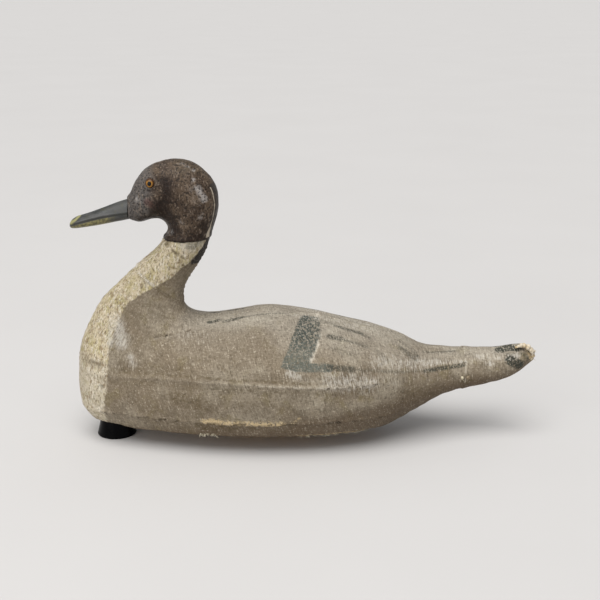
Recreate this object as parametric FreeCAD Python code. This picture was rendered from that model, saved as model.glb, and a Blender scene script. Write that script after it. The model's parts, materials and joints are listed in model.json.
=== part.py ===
import FreeCAD, Part

# Floating duck decoy: painted canvas over a wooden frame, with a carved wooden head.
#
# Millimetres. +X points to the tail, +Z up, and the plane Y = 0 splits the duck into mirror halves,
# with its left side at -Y. The origin is under the middle of the length, on the surface that the
# duck stands on. It stands level on a black foot under the breast and on its ballast keel.

import math
import os

from FreeCAD import Vector

# Driving dimensions
BOARD_LOW = 20.0            # underside of the canvas hem above the ground
CANVAS = 1.5                # painted canvas
BOARD_THICK = 15.0
BOARD_FRONT, BOARD_REAR = -222.0, 95.0
HEM_WIDTH = 13.0            # canvas folded under the board
WIDEST_LEVEL = 79.0         # height of the side stringers
STRINGER = 8.0
RIB_THICK = 6.0
RIB_PLACES = (-120.0, -74.0, -28.0, 18.0, 62.0)
RIB_VENT_R = 17.0
TAIL_BLOCK_FRONT = 78.0
BREAST_BLOCK_REAR = -192.0
SLEEVE_SEAM = 160.0
POST_X, POST_WIDE, POST_THICK = -158.0, 44.0, 20.0

KEEL_FRONT, KEEL_REAR, KEEL_WIDE = -88.0, 10.0, 24.0
KEEL_NOSE_LONG, KEEL_NOSE_HIGH, KEEL_HEEL = 14.0, 12.0, 6.0
BALLAST_X, BALLAST_LONG, BALLAST_WIDE, BALLAST_DEEP = -37.0, 66.0, 13.0, 12.0

FOOT_X, FOOT_R, FOOT_TOP_R = -195.0, 20.0, 15.0
FOOT_EDGE = 1.0
FOOT_BORE_DEEP, FOOT_BORE_SLACK = 9.0, 0.5

EYE_X, EYE_Z, EYE_R, EYE_SUNK = -148.3, 263.7, 5.2, 3.0
EYE_PIN_R, EYE_PIN_LONG = 0.5, 9.0
NECK_DOWEL, NECK_DOWEL_R = ((-130.5, 0, 181.0), (-103.0, 0, 235.0)), 6.0
BILL_TENON, BILL_TENON_R = ((-187.0, 0, 232.0), (-152.0, 0, 241.0)), 4.0

LINE_EYE_X = -158.0
EYE_WIRE_R, EYE_LOOP_R = 1.0, 3.5
EYE_STEM, EYE_SHANK = 0.5, 14.0
RING_WIRE_R, RING_R = 0.9, 5.9
RUNNING_GAP = 0.05

SCREW_R, SCREW_HEAD_R, SCREW_POINT_R = 1.8, 3.6, 0.3
BOARD_SCREW_LONG = 30.0
BOARD_SCREWS = (
    (-204, 13), (-204, -13), (-172, 0), (-144, 0), (-120, 34), (-120, -34), (-74, 40), (-74, -40),
    (-28, 42), (-28, -42), (18, 38), (18, -38), (62, 24), (62, -24), (84, 0),
)
KEEL_SCREWS, KEEL_SCREW_LEVEL, KEEL_SCREW_LONG = ((-79, 0), (2, 0)), 6.0, 26.0
BALLAST_SCREWS, BALLAST_SCREW_LEVEL, BALLAST_SCREW_LONG = ((-55, 0), (-19, 0)), 0.5, 16.0
FOOT_SCREW_LONG = 26.0
TACKS = 44                  # places along the hem; none stands under the foot
TACK_HEAD_R, TACK_HEAD_HIGH, TACK_SHANK_R, TACK_LONG = 2.4, 0.9, 0.6, 9.0
SLEEVE_TACK_Z = 68.0

SECTION_POLES = 36          # points round each cross-section
FAR = 300.0                 # cutting boxes reach this far, past every side of the duck

# The body skin: cross-sections from the tail tip to the top of the neck. Each lies in a plane
# across the duck, from a point on the back to a point on the belly or breast.
# back x, back z, belly x, belly z, half width, place of the widest point from back (0) to belly (1),
# roundness of the upper part and of the lower part (2 is an ellipse)
BODY_SECTIONS = (
    (231, 88, 231, 80, 5, 0.50, 2.0, 2.0),
    (225, 95, 225.5, 75.5, 10, 0.50, 2.0, 2.0),
    (214, 96, 216, 67, 14.5, 0.50, 2.0, 2.0),
    (194, 92.5, 197, 58.5, 17.5, 0.50, 2.0, 2.0),
    (160, 92.5, 164, 51.5, 21.5, 0.50, 2.0, 2.1),
    (138, 93, 138, 44.5, 28, 0.49, 2.0, 2.1),
    (117, 95.5, 117, 32.5, 37, 0.42, 1.9, 2.1),
    (100, 103, 98, 21, 45, 0.36, 1.9, 2.1),
    (71, 114, 71, 7, 58, 0.38, 2.0, 2.2),
    (38, 122, 38, -3, 68, 0.37, 2.0, 2.2),
    (0, 130, 0, -9, 74, 0.38, 2.0, 2.2),
    (-36, 135, -36, -10, 75.5, 0.385, 2.0, 2.2),
    (-68, 130, -70, -10, 74, 0.37, 2.0, 2.2),
    (-92, 126.3, -104, -8, 70, 0.36, 2.05, 2.2),
    (-106, 127.5, -143, -4, 64, 0.37, 2.1, 2.2),
    (-115, 131.5, -184, 5, 57, 0.41, 2.1, 2.15),
    (-120.3, 138, -216, 21, 50, 0.47, 2.05, 2.1),
    (-121.8, 146, -229.5, 45, 43, 0.50, 2.0, 2.1),
    (-121.6, 154, -230.5, 72, 37, 0.51, 2.0, 2.1),
    (-119, 161.5, -227.5, 96, 32, 0.52, 2.0, 2.1),
    (-115, 168.5, -218.5, 119, 28, 0.53, 2.0, 2.1),
    (-110, 176, -203.5, 144.5, 25.5, 0.53, 2.0, 2.1),
    (-104.5, 184.5, -182.5, 164.5, 24, 0.52, 2.0, 2.1),
    (-99.5, 193, -162, 183.5, 23, 0.50, 2.0, 2.0),
    (-96, 201, -146.5, 197.5, 22.5, 0.50, 2.0, 2.0),
    (-94, 208, -139.5, 208, 22.5, 0.50, 2.0, 2.0),
)
STRINGER_SECTIONS = slice(4, -2)    # the sections that the stringers and the ridge strip follow
HEM_SECTIONS = slice(7, 17)         # the sections that reach below the board

# The head: the same kind of sections, from the neck over the crown to the root of the bill
HEAD_SECTIONS = (
    (-93.3, 208, -139.8, 208, 23.5, 0.50, 2.0, 2.0),
    (-88.5, 222.4, -135.8, 214, 23.5, 0.48, 2.0, 2.0),
    (-84.6, 240.3, -135.5, 219, 24, 0.46, 2.1, 2.0),
    (-86.6, 257.0, -139, 224, 24.5, 0.45, 2.1, 2.0),
    (-95.5, 271.5, -144, 226.5, 24.5, 0.46, 2.2, 2.0),
    (-109.7, 282.0, -150, 226.3, 24, 0.48, 2.2, 2.1),
    (-127.9, 285.0, -155.5, 224.7, 22.5, 0.50, 2.2, 2.1),
    (-144.9, 281.0, -160.5, 223.2, 20, 0.52, 2.2, 2.1),
    (-156.8, 274.0, -164.5, 223.2, 17.5, 0.55, 2.1, 2.1),
    (-165.2, 262.5, -168.0, 224.4, 14.5, 0.58, 2.1, 2.2),
    (-170.0, 252.8, -170.6, 225.4, 12, 0.60, 2.1, 2.3),
    (-172.5, 247.8, -172.5, 225.8, 10.8, 0.60, 2.1, 2.4),
)

# The bill: sections from its root to its rounded tip
BILL_SECTIONS = (
    (-172.5, 245.9, -172.5, 225.7, 10.2, 0.66, 1.9, 2.6),
    (-180, 243.6, -180, 224.2, 9.7, 0.66, 1.9, 2.6),
    (-190, 240.0, -190, 222.2, 9.2, 0.64, 1.9, 2.6),
    (-202, 235.4, -202, 219.9, 9.4, 0.60, 1.9, 2.6),
    (-213, 231.5, -213, 218.1, 10.0, 0.58, 1.9, 2.6),
    (-221.5, 228.8, -221.5, 216.9, 10.2, 0.56, 1.9, 2.6),
    (-227, 225.8, -227, 216.4, 8.4, 0.56, 1.9, 2.4),
    (-230, 223.0, -230, 217.0, 5.4, 0.54, 2.0, 2.2),
    (-231, 221.0, -231, 218.6, 2.2, 0.50, 2.0, 2.0),
)

NECK_TOP = 208.0            # level where the head stands on the neck
# The plane of the seam between neck canvas and body canvas, by two points of it, back and front
NECK_SEAM = ((-121.5, 143.0), (-177.0, 188.0))
NECK_REAR, NOTCH_TOP = -70.0, 135.0     # the neck stands in front of the one and above the other
# The plane where the neck core stands on the breast block and the post
NECK_CORE_FOOT = ((-120.0, 120.0), (-235.0, 104.0))
NECK_CORE_REAR, NECK_CORE_LOW = -112.0, 90.0


def smooth_between(rows, steps):
    """Fill in rows between the given ones with a Catmull-Rom curve through them."""
    filled = []
    last = len(rows) - 1
    for index in range(last):
        before = rows[max(index - 1, 0)]
        here, there = rows[index], rows[index + 1]
        after = rows[min(index + 2, last)]
        for step in range(steps):
            t = step / steps
            filled.append([
                b + 0.5 * t * (c - a + t * (2 * a - 5 * b + 4 * c - d + t * (3 * (b - c) + d - a)))
                for a, b, c, d in zip(before, here, there, after)
            ])
    filled.append(list(rows[last]))
    return filled


def section_points(row, inset):
    """Points round one cross-section, moved inward by the inset."""
    back_x, back_z, belly_x, belly_z, half, widest, upper, lower = row
    long_x, long_z = belly_x - back_x, belly_z - back_z
    length = math.hypot(long_x, long_z)
    points = []
    for index in range(SECTION_POLES):
        turn = 2 * math.pi * index / SECTION_POLES
        along, side = math.cos(turn), math.sin(turn)
        power = upper if along > 0 else lower
        stretch = (abs(along) ** power + abs(side) ** power) ** (-1 / power)
        along, side = along * stretch, side * stretch
        reach = widest * length if along > 0 else (1 - widest) * length
        normal_along = along / max(reach, 0.1)
        normal_side = side / max(half, 0.1)
        size = math.hypot(normal_along, normal_side)
        down = (widest * length - along * reach + inset * normal_along / size) / length
        out = side * half - inset * normal_side / size
        points.append(Vector(back_x + down * long_x, out, back_z + down * long_z))
    return points


def lofted(rows, inset=0.0, steps=3):
    """A closed solid with a smooth skin over the cross-sections and flat ends."""
    grid = [section_points(row, inset) for row in smooth_between(rows, steps)]
    count = len(grid)
    surface = Part.BSplineSurface()
    surface.buildFromPolesMultsKnots(
        grid,
        [4] + [1] * (count - 4) + [4],
        [1] * (SECTION_POLES + 1),
        [float(knot) for knot in range(count - 2)],
        [float(knot) for knot in range(SECTION_POLES + 1)],
        False, True, 3, 3,
    )
    faces = [surface.toShape()]
    for end in (0.0, float(count - 3)):
        rim = surface.uIso(end).toShape()
        faces.append(Part.Face(Part.Wire([rim])))
    shell = Part.makeShell(faces)
    shell.sewShape()
    solid = Part.Solid(Part.Shell(shell.Faces))
    if solid.Volume < 0:
        solid.reverse()
    return solid


def block(x_low=-FAR, x_high=FAR, y_low=-FAR, y_high=FAR, z_low=-FAR, z_high=FAR):
    """A box between two corners; a side that is left out lies past the duck."""
    return Part.makeBox(
        x_high - x_low, y_high - y_low, z_high - z_low, Vector(x_low, y_low, z_low)
    )


def above_line(line):
    """Everything on the upper side of a plane across the duck that passes through two points."""
    (x_back, z_back), (x_front, z_front) = line
    slope = math.atan2(z_front - z_back, x_back - x_front)
    half = Part.makeBox(4 * FAR, 2 * FAR, 2 * FAR, Vector(-2 * FAR, -FAR, 0))
    half.rotate(Vector(0, 0, 0), Vector(0, 1, 0), math.degrees(slope))
    half.translate(Vector(x_back, 0, z_back))
    return half


def rod(start, end, radius):
    """A round bar between two points."""
    start, end = Vector(*start), Vector(*end)
    return Part.makeCylinder(radius, (end - start).Length, start, end - start)


def wood_screw(x, y, level, length):
    """An upright countersunk screw: its head's flat face lies at the level, facing down."""
    up = Vector(0, 0, 1)
    countersink = SCREW_HEAD_R - SCREW_R
    neck, point = level + countersink, level + length - 2 * SCREW_R
    screw = Part.makeCone(SCREW_HEAD_R, SCREW_R, countersink, Vector(x, y, level), up)
    screw = screw.fuse(Part.makeCylinder(SCREW_R, point - neck, Vector(x, y, neck), up))
    tip = Part.makeCone(SCREW_R, SCREW_POINT_R, 2 * SCREW_R, Vector(x, y, point), up)
    return screw.fuse(tip).removeSplitter()


def screw_row(places, level, length):
    """Upright screws with their heads at one level."""
    return Part.makeCompound([wood_screw(x, y, level, length) for x, y in places])


def screw_wells(places, level):
    """Holes up from the ground to the screws' heads."""
    return [Part.makeCylinder(SCREW_HEAD_R, level, Vector(x, y, 0)) for x, y in places]


def mirrored(shape):
    return shape.mirror(Vector(0, 0, 0), Vector(0, 1, 0))


def save(name, shape):
    """Write one node, and say what it is made of."""
    for solid in shape.Solids:
        if not solid.isValid():
            print("not valid:", name)
    print(f"{name:18s} {len(shape.Solids):3d} solids {shape.Volume / 1000:9.2f} cm3")
    if len(shape.Solids) == 1:
        shape = shape.Solids[0]
    else:
        shape = Part.makeCompound(shape.Solids)
    shape.exportStep(f"parts/{name}.step")


# ---- skins that the pieces are cut from ----

def skins():
    """The outer skin, the space in the canvas, the space in the stringers, the window in the hem."""
    outer = lofted(BODY_SECTIONS)
    outer = outer.common(block(z_low=BOARD_LOW))
    top, below = BODY_SECTIONS[-1], BODY_SECTIONS[-2]
    raised = tuple(2 * high - low for high, low in zip(top[:4], below[:4])) + top[4:]
    inner_rows = BODY_SECTIONS[1:] + (raised,)
    inner = lofted(inner_rows, CANVAS)
    inner = inner.common(block(z_low=BOARD_LOW + CANVAS))
    deep = lofted(BODY_SECTIONS[STRINGER_SECTIONS], CANVAS + STRINGER)
    window = lofted(BODY_SECTIONS[HEM_SECTIONS], CANVAS + HEM_WIDTH)
    window = window.common(block(z_low=BOARD_LOW - 1, z_high=BOARD_LOW + CANVAS))
    return outer, inner, deep, window


def neck_core_space():
    """The space of the neck core: above its foot plane, below the head, in front of the back."""
    low = block(x_high=NECK_CORE_REAR, z_low=NECK_CORE_LOW, z_high=NECK_TOP)
    high = block(x_high=NECK_REAR, z_low=NOTCH_TOP, z_high=NECK_TOP)
    return above_line(NECK_CORE_FOOT).common(low.fuse(high))


# ---- wooden frame ----

def side_strip(space, deep, side):
    """The stringer along one side at the widest level."""
    low = WIDEST_LEVEL - STRINGER / 2
    y_low, y_high = (0, FAR) if side > 0 else (-FAR, 0)
    cutter = block(BREAST_BLOCK_REAR, TAIL_BLOCK_FRONT, y_low, y_high, low, low + STRINGER)
    return space.cut(deep).common(cutter)


def ridge_strip(space, deep):
    """The strip under the middle of the back, from the neck core to the tail block."""
    half = STRINGER / 2
    cutter = block(NECK_CORE_REAR, TAIL_BLOCK_FRONT, -half, half, WIDEST_LEVEL, NECK_TOP)
    return space.cut(deep).common(cutter)


def rib(space, strips, place):
    """A plywood half-moon that stands on the board, notched for the strips."""
    half = RIB_THICK / 2
    plate = space.common(block(x_low=place - half, x_high=place + half))
    vent = rod((place - half, 0, WIDEST_LEVEL), (place + half, 0, WIDEST_LEVEL), RIB_VENT_R)
    return plate.cut(vent).cut(strips)


# ---- head ----

def skin_y(solid, x, z):
    """How far the solid reaches to the left side at a place."""
    line = Part.makeLine(Vector(x, -FAR, z), Vector(x, 0, z))
    return solid.common(line).BoundBox.YMin


def head_pieces():
    """The head and bill with their dowel and tenon, and the glass eyes on their wires."""
    head = lofted(HEAD_SECTIONS)
    bill = lofted(BILL_SECTIONS)
    dowel = rod(NECK_DOWEL[0], NECK_DOWEL[1], NECK_DOWEL_R)
    tenon = rod(BILL_TENON[0], BILL_TENON[1], BILL_TENON_R)
    eye_y = skin_y(head, EYE_X, EYE_Z) + EYE_SUNK
    left_eye = Part.makeSphere(EYE_R, Vector(EYE_X, eye_y, EYE_Z))
    wire_start = (EYE_X, eye_y + EYE_R, EYE_Z)
    wire_end = (EYE_X, eye_y + EYE_R + EYE_PIN_LONG, EYE_Z)
    left_wire = rod(wire_start, wire_end, EYE_PIN_R).cut(left_eye)
    eyes = (left_eye, mirrored(left_eye))
    wires = Part.makeCompound([left_wire, mirrored(left_wire)])
    head = head.cut(Part.makeCompound([dowel, tenon, wires, *eyes]))
    return {
        "head": head, "bill": bill.cut(tenon), "bill_tenon": tenon, "neck_dowel": dowel,
        "left_eye": eyes[0], "right_eye": eyes[1], "eye_pins": wires,
    }


# ---- tacks ----

def tack(place, inward):
    """A tack: a low domed head outside the canvas and a shank through it."""
    dome_r = (TACK_HEAD_R ** 2 + TACK_HEAD_HIGH ** 2) / (2 * TACK_HEAD_HIGH)
    ball = Part.makeSphere(dome_r, place + inward * (dome_r - TACK_HEAD_HIGH))
    head = ball.common(Part.makeCylinder(TACK_HEAD_R, TACK_HEAD_HIGH, place, inward * -1))
    shank = Part.makeCylinder(TACK_SHANK_R, TACK_LONG, place, inward)
    return head.fuse(shank).removeSplitter()


def hem_tacks(outer):
    """Tacks through the hem, evenly along the board's edge but not under the foot."""
    outline = outer.slice(Vector(0, 0, 1), BOARD_LOW + 0.01)[0]
    path = Part.Wire(outline.Edges).makeOffset2D(-HEM_WIDTH / 2)
    tacks = []
    for point in path.discretize(TACKS + 1)[:-1]:
        if math.hypot(point.x - FOOT_X, point.y) >= FOOT_TOP_R + 2 * TACK_HEAD_R:
            tacks.append(tack(Vector(point.x, point.y, BOARD_LOW), Vector(0, 0, 1)))
    return Part.makeCompound(tacks)


def sleeve_tacks(outer):
    """One tack on each side, where the tail sleeve laps over the body canvas."""
    x = SLEEVE_SEAM + TACK_HEAD_R
    reach = -skin_y(outer, x, SLEEVE_TACK_Z)
    return Part.makeCompound([
        tack(Vector(x, side * reach, SLEEVE_TACK_Z), Vector(0, -side, 0)) for side in (-1, 1)
    ])


# ---- fittings under the board ----

def foot():
    """The black breast foot: a truncated cone with softened rims, counterbored for its screw."""
    cone = Part.makeCone(FOOT_R, FOOT_TOP_R, BOARD_LOW, Vector(FOOT_X, 0, 0))
    rims = [edge for edge in cone.Edges if edge.Curve.TypeId == "Part::GeomCircle"]
    bore = Part.makeCylinder(SCREW_HEAD_R + FOOT_BORE_SLACK, FOOT_BORE_DEEP, Vector(FOOT_X, 0, 0))
    return cone.makeFillet(FOOT_EDGE, rims).cut(bore)


def keel():
    """The wooden keel, with a raked nose and a small chamfer at its heel."""
    top, half = BOARD_LOW + CANVAS, KEEL_WIDE / 2
    corners = (
        (KEEL_FRONT, top), (KEEL_REAR, top), (KEEL_REAR, KEEL_HEEL), (KEEL_REAR - KEEL_HEEL, 0),
        (KEEL_FRONT + KEEL_NOSE_LONG, 0), (KEEL_FRONT, KEEL_NOSE_HIGH), (KEEL_FRONT, top),
    )
    profile = Part.makePolygon([Vector(x, -half, z) for x, z in corners])
    return Part.Face(profile).extrude(Vector(0, KEEL_WIDE, 0))


def ballast():
    """The metal bar let into the keel, flush with its underside."""
    long_half, half = BALLAST_LONG / 2, BALLAST_WIDE / 2
    return block(BALLAST_X - long_half, BALLAST_X + long_half, -half, half, 0, BALLAST_DEEP)


def line_eye():
    """A screw eye in the board, with its loop in the plane of symmetry, and the loop's level."""
    loop_z = BOARD_LOW + CANVAS - EYE_STEM - EYE_WIRE_R - EYE_LOOP_R
    loop = Part.makeTorus(EYE_LOOP_R, EYE_WIRE_R, Vector(LINE_EYE_X, 0, loop_z), Vector(0, 1, 0))
    shank_z = loop_z + EYE_LOOP_R
    shank = rod((LINE_EYE_X, 0, shank_z), (LINE_EYE_X, 0, shank_z + EYE_SHANK), EYE_WIRE_R)
    return loop.fuse(shank).removeSplitter(), loop_z


def line_ring(loop_z):
    """The loose ring that hangs in the screw eye and swings fore and aft about its top."""
    pivot_z = loop_z - EYE_LOOP_R + EYE_WIRE_R + RING_WIRE_R + RUNNING_GAP
    return Part.makeTorus(RING_R, RING_WIRE_R, Vector(LINE_EYE_X, 0, pivot_z - RING_R), Vector(1, 0, 0))


# ---- the whole decoy ----

def wooden_frame(inner, deep):
    """The blanks of every wooden piece under the canvas, before the fasteners' holes."""
    floor = BOARD_LOW + CANVAS
    deck = floor + BOARD_THICK
    space = inner.cut(neck_core_space()).common(block(z_low=deck, z_high=NECK_TOP))
    tail_room = block(x_low=TAIL_BLOCK_FRONT, z_low=deck)
    tail_room = tail_room.fuse(block(x_low=BOARD_REAR, z_low=floor))
    post_room = block(POST_X - POST_WIDE / 2, POST_X + POST_WIDE / 2, -POST_THICK / 2, POST_THICK / 2)
    strips = {
        "left_stringer": side_strip(space, deep, -1),
        "right_stringer": side_strip(space, deep, 1),
        "ridge_strip": ridge_strip(space, deep),
    }
    all_strips = Part.makeCompound(list(strips.values()))
    wood = {
        "bottom_board": inner.common(block(BOARD_FRONT, BOARD_REAR, z_low=floor, z_high=deck)),
        "neck_core": inner.common(neck_core_space()),
        "breast_block": space.common(block(x_high=BREAST_BLOCK_REAR)),
        "tail_block": inner.common(tail_room),
        "neck_post": space.common(post_room),
        **strips,
    }
    for number, place in enumerate(RIB_PLACES, 1):
        wood[f"rib_{number}"] = rib(space, all_strips, place).cut(wood["neck_post"])
    return wood


def canvas_pieces(shell):
    """The canvas, cut at the neck seam, the tail sleeve's seam and the middle of the back."""
    neck_space = above_line(NECK_SEAM).common(block(x_high=NECK_REAR, z_low=NOTCH_TOP))
    sleeve_space = block(x_low=SLEEVE_SEAM)
    body = shell.cut(neck_space).cut(sleeve_space)
    return {
        "neck_canvas": shell.common(neck_space),
        "tail_canvas": shell.common(sleeve_space),
        "left_canvas": body.common(block(y_high=0)),
        "right_canvas": body.common(block(y_low=0)),
    }


def main():
    os.makedirs("parts", exist_ok=True)
    outer, inner, deep, window = skins()
    nodes = head_pieces()
    nodes.update(wooden_frame(inner, deep))

    nodes["board_screws"] = screw_row(BOARD_SCREWS, BOARD_LOW + CANVAS, BOARD_SCREW_LONG)
    nodes["keel_screws"] = screw_row(KEEL_SCREWS, KEEL_SCREW_LEVEL, KEEL_SCREW_LONG)
    nodes["ballast_screws"] = screw_row(BALLAST_SCREWS, BALLAST_SCREW_LEVEL, BALLAST_SCREW_LONG)
    nodes["foot_screw"] = wood_screw(FOOT_X, 0, FOOT_BORE_DEEP, FOOT_SCREW_LONG)
    nodes["line_eye"], loop_z = line_eye()
    nodes["line_ring"] = line_ring(loop_z)
    nodes["hem_tacks"] = hem_tacks(outer)
    nodes["sleeve_tacks"] = sleeve_tacks(outer)
    nodes["keel"] = keel()
    nodes["ballast"] = ballast()
    nodes["breast_foot"] = foot()
    nodes.update(canvas_pieces(outer.cut(inner).cut(window)))

    # what each piece is cut for: the fasteners through it and the pieces let into it
    cut_for = {
        "bottom_board": ("board_screws", "keel_screws", "foot_screw", "line_eye", "hem_tacks"),
        "neck_core": ("neck_dowel",),
        "breast_block": ("board_screws", "foot_screw"),
        "tail_block": ("board_screws", "sleeve_tacks"),
        "neck_post": ("board_screws",),
        "keel": ("ballast", "keel_screws", "ballast_screws"),
        "ballast": ("ballast_screws",),
        "breast_foot": ("foot_screw",),
    }
    for number in range(1, len(RIB_PLACES) + 1):
        cut_for[f"rib_{number}"] = ("board_screws",)
    for name in ("left_canvas", "right_canvas", "neck_canvas", "tail_canvas"):
        cut_for[name] = ("hem_tacks", "sleeve_tacks", "foot_screw")
    wells = {
        "keel": screw_wells(KEEL_SCREWS, KEEL_SCREW_LEVEL),
        "ballast": screw_wells(BALLAST_SCREWS, BALLAST_SCREW_LEVEL),
    }
    whole = dict(nodes)
    for name, others in cut_for.items():
        tools = [whole[other] for other in others] + wells.get(name, [])
        nodes[name] = whole[name].cut(Part.makeCompound(tools))

    for name, shape in nodes.items():
        save(name, shape)


main()
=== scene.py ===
import json
import math
import random

import bmesh
import bpy
import numpy as np
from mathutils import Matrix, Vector, noise
from mathutils.bvhtree import BVHTree


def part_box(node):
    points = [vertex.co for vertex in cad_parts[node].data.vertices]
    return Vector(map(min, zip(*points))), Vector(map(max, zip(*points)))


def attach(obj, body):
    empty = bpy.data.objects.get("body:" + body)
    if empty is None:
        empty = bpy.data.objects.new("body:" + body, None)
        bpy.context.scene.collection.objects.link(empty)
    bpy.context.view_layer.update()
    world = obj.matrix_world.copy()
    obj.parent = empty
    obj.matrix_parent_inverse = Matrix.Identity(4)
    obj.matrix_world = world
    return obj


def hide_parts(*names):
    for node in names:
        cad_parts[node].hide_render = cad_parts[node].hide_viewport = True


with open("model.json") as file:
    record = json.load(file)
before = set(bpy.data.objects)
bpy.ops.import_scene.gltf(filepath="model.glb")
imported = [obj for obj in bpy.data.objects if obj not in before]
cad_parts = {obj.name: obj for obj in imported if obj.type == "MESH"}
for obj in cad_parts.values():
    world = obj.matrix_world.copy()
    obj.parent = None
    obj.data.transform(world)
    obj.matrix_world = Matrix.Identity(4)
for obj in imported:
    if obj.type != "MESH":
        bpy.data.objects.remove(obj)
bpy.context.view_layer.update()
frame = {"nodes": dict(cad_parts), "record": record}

MM = 0.001
random.seed(7)

# Places read from the frame
BOARD_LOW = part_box("left_canvas")[0].z
NECK_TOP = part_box("neck_canvas")[1].z
SLEEVE_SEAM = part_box("tail_canvas")[0].x
BILL_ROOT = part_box("bill")[1].x
EYE_LOW, EYE_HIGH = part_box("left_eye")
EYE = (EYE_LOW + EYE_HIGH) / 2

# Where pieces of canvas meet, in mm
NECK_SEAM = ((-121.5, 143.0), (-177.0, 188.0))      # a slanting plane between neck canvas and body canvas
NECK_FOLD = ((-135.7, 204.7), (-121.7, 192.7))      # a crease under the throat
NECK_LOW, NECK_REAR = 135, -70                      # the neck is above and in front of these
SLEEVE_LAP = 1.2                                    # the sleeve reaches this far past its seam

# Cross-sections that the skins are traced in: x and z of the middle, and the lean of the plane in degrees
BODY_FAN = (
    (230.4, 84, 0), (200, 78, 0), (160, 72, 0), (100, 73, 0), (40, 76, 0), (-20, 78, 0), (-70, 79, 0),
    (-97, 78, 5), (-119, 80, 16), (-143, 80, 29), (-165, 83, 39), (-175, 95.5, 47), (-176, 112, 53),
    (-173, 128, 59), (-167, 143, 64.5), (-157, 160, 71.5), (-144, 174, 75.6), (-131, 188, 81.4),
    (-121, 199, 86), (-117, 207.8, 90),
)
HEAD_FAN = (
    (-116.5, 208.2, 90), (-112, 218, 80), (-110, 229.5, 67), (-113, 240.5, 58), (-120, 249, 47),
    (-130, 254, 36), (-141.5, 255, 24.6), (-152.5, 252, 15), (-160.5, 248.5, 8.6), (-166.5, 243.5, 4),
    (-170, 239.5, 1), (-172.4, 237, 0),
)
BILL_FAN = ((-172.7, 236, 0), (-190, 231.5, 0), (-205, 227, 0), (-220, 222.8, 0), (-230.7, 220.0, 0))
HALF_TURN = (0.002, math.pi - 0.002)                # from the back to the belly, just off the middle


# ---- tracing the CAD skins ----

def curve(rows, at):
    """Places on a smooth curve through the rows, where `at` counts the rows from 0."""
    rows = np.asarray(rows, float)
    last = len(rows) - 1
    start = np.clip(np.floor(at).astype(int), 0, last - 1)
    t = (np.asarray(at) - start)[:, None]
    a, b, c, d = (rows[np.clip(start + step, 0, last)] for step in (-1, 0, 1, 2))
    return b + 0.5 * t * (c - a + t * (2 * a - 5 * b + 4 * c - d + t * (3 * (b - c) + d - a)))


def skin_tree(names):
    corners, faces = [], []
    for name in names:
        mesh = frame["nodes"][name].data
        start = len(corners)
        corners += [v.co.copy() for v in mesh.vertices]
        faces += [[start + i for i in p.vertices] for p in mesh.polygons]
    return BVHTree.FromPolygons(corners, faces)


def outline(tree, row, angles, shell):
    """The left half of the outer skin in one plane, from the back to the belly. Rays come in from outside."""
    middle = Vector((row[0] * MM, 0, row[1] * MM))
    lean = math.radians(row[2])
    back = Vector((math.sin(lean), 0, math.cos(lean)))
    points = []
    for angle in angles:
        way = back * math.cos(angle) - Vector((0, math.sin(angle), 0))
        start = middle + way * 60 * MM
        if shell:
            inner = tree.ray_cast(middle, way)[0]
            if inner is None:
                break
            start = inner + way * 7 * MM
        hit = tree.ray_cast(start, -way)[0]
        if hit is None:
            break
        points.append(hit)
    return points


def respaced(points, count):
    """The same line with its points evenly spaced."""
    points = np.asarray(points, float)
    along = np.concatenate(([0], np.cumsum(np.linalg.norm(np.diff(points, axis=0), axis=1))))
    at = np.linspace(0, along[-1], count)
    return np.stack([np.interp(at, along, points[:, k]) for k in range(3)], axis=1)


def stations(fan, spacing, lever):
    """Rows of the fan at even steps of a line that runs `lever` mm from the middles, on the belly side."""
    fine = np.linspace(0, len(fan) - 1, 4000)
    rows = curve(fan, fine)
    lean = np.radians(rows[:, 2])
    line = rows[:, :2] - lever * np.stack([np.sin(lean), np.cos(lean)], axis=1)
    step = np.linalg.norm(np.diff(line, axis=0), axis=1)
    step = np.maximum(step, np.linalg.norm(np.diff(rows[:, :2], axis=0), axis=1))
    along = np.concatenate(([0], np.cumsum(step)))
    count = int(along[-1] / spacing)
    return np.interp(np.linspace(0, along[-1], count), along, fine)


def evened(rows):
    """The rows between the first and the last, each mixed with its neighbours."""
    return (rows[:-2] + 2 * rows[1:-1] + rows[2:]) / 4


def smoothed(grid, times):
    """Even out the facets of the traced skin, and keep its first and last rows and columns."""
    for _ in range(times):
        grid = np.concatenate((grid[:1], evened(grid), grid[-1:]))
        across = evened(grid.swapaxes(0, 1)).swapaxes(0, 1)
        grid = np.concatenate((grid[:, :1], across, grid[:, -1:]), axis=1)
    return grid


def body_section(tree, place):
    """The outline at a place along the body's fan, and whether it ends at the board's corner."""
    angles = np.linspace(*HALF_TURN, 240)
    low = BOARD_LOW + 0.3 * MM

    def traced():
        return outline(tree, curve(BODY_FAN, np.array([place]))[0], angles, shell=True)

    points = traced()
    while len(points) < len(angles) and points[-1].z > low + 2 * MM:
        place += 0.01      # a ray slipped through the seam between two canvases
        points = traced()
    above = [p for p in points if p.z > low or p.x > 0.12]
    if len(above) == len(angles):
        above[-1] = above[-1].copy()
        above[-1].y = 0
        return above, False
    end, before = above[-1], above[-4]
    slope = (end - before) / max(before.z - end.z, 0.1 * MM)
    corner = end + slope * (end.z - BOARD_LOW)
    corner.y = min(corner.y, 0)
    corner.z = BOARD_LOW
    return above + [corner], True


def board_end(tree, clear, covered):
    """The place where the board begins, between a place clear of it and one over it."""
    for _ in range(14):
        half = (clear + covered) / 2
        if body_section(tree, half)[1]:
            covered = half
        else:
            clear = half
    return covered


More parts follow.
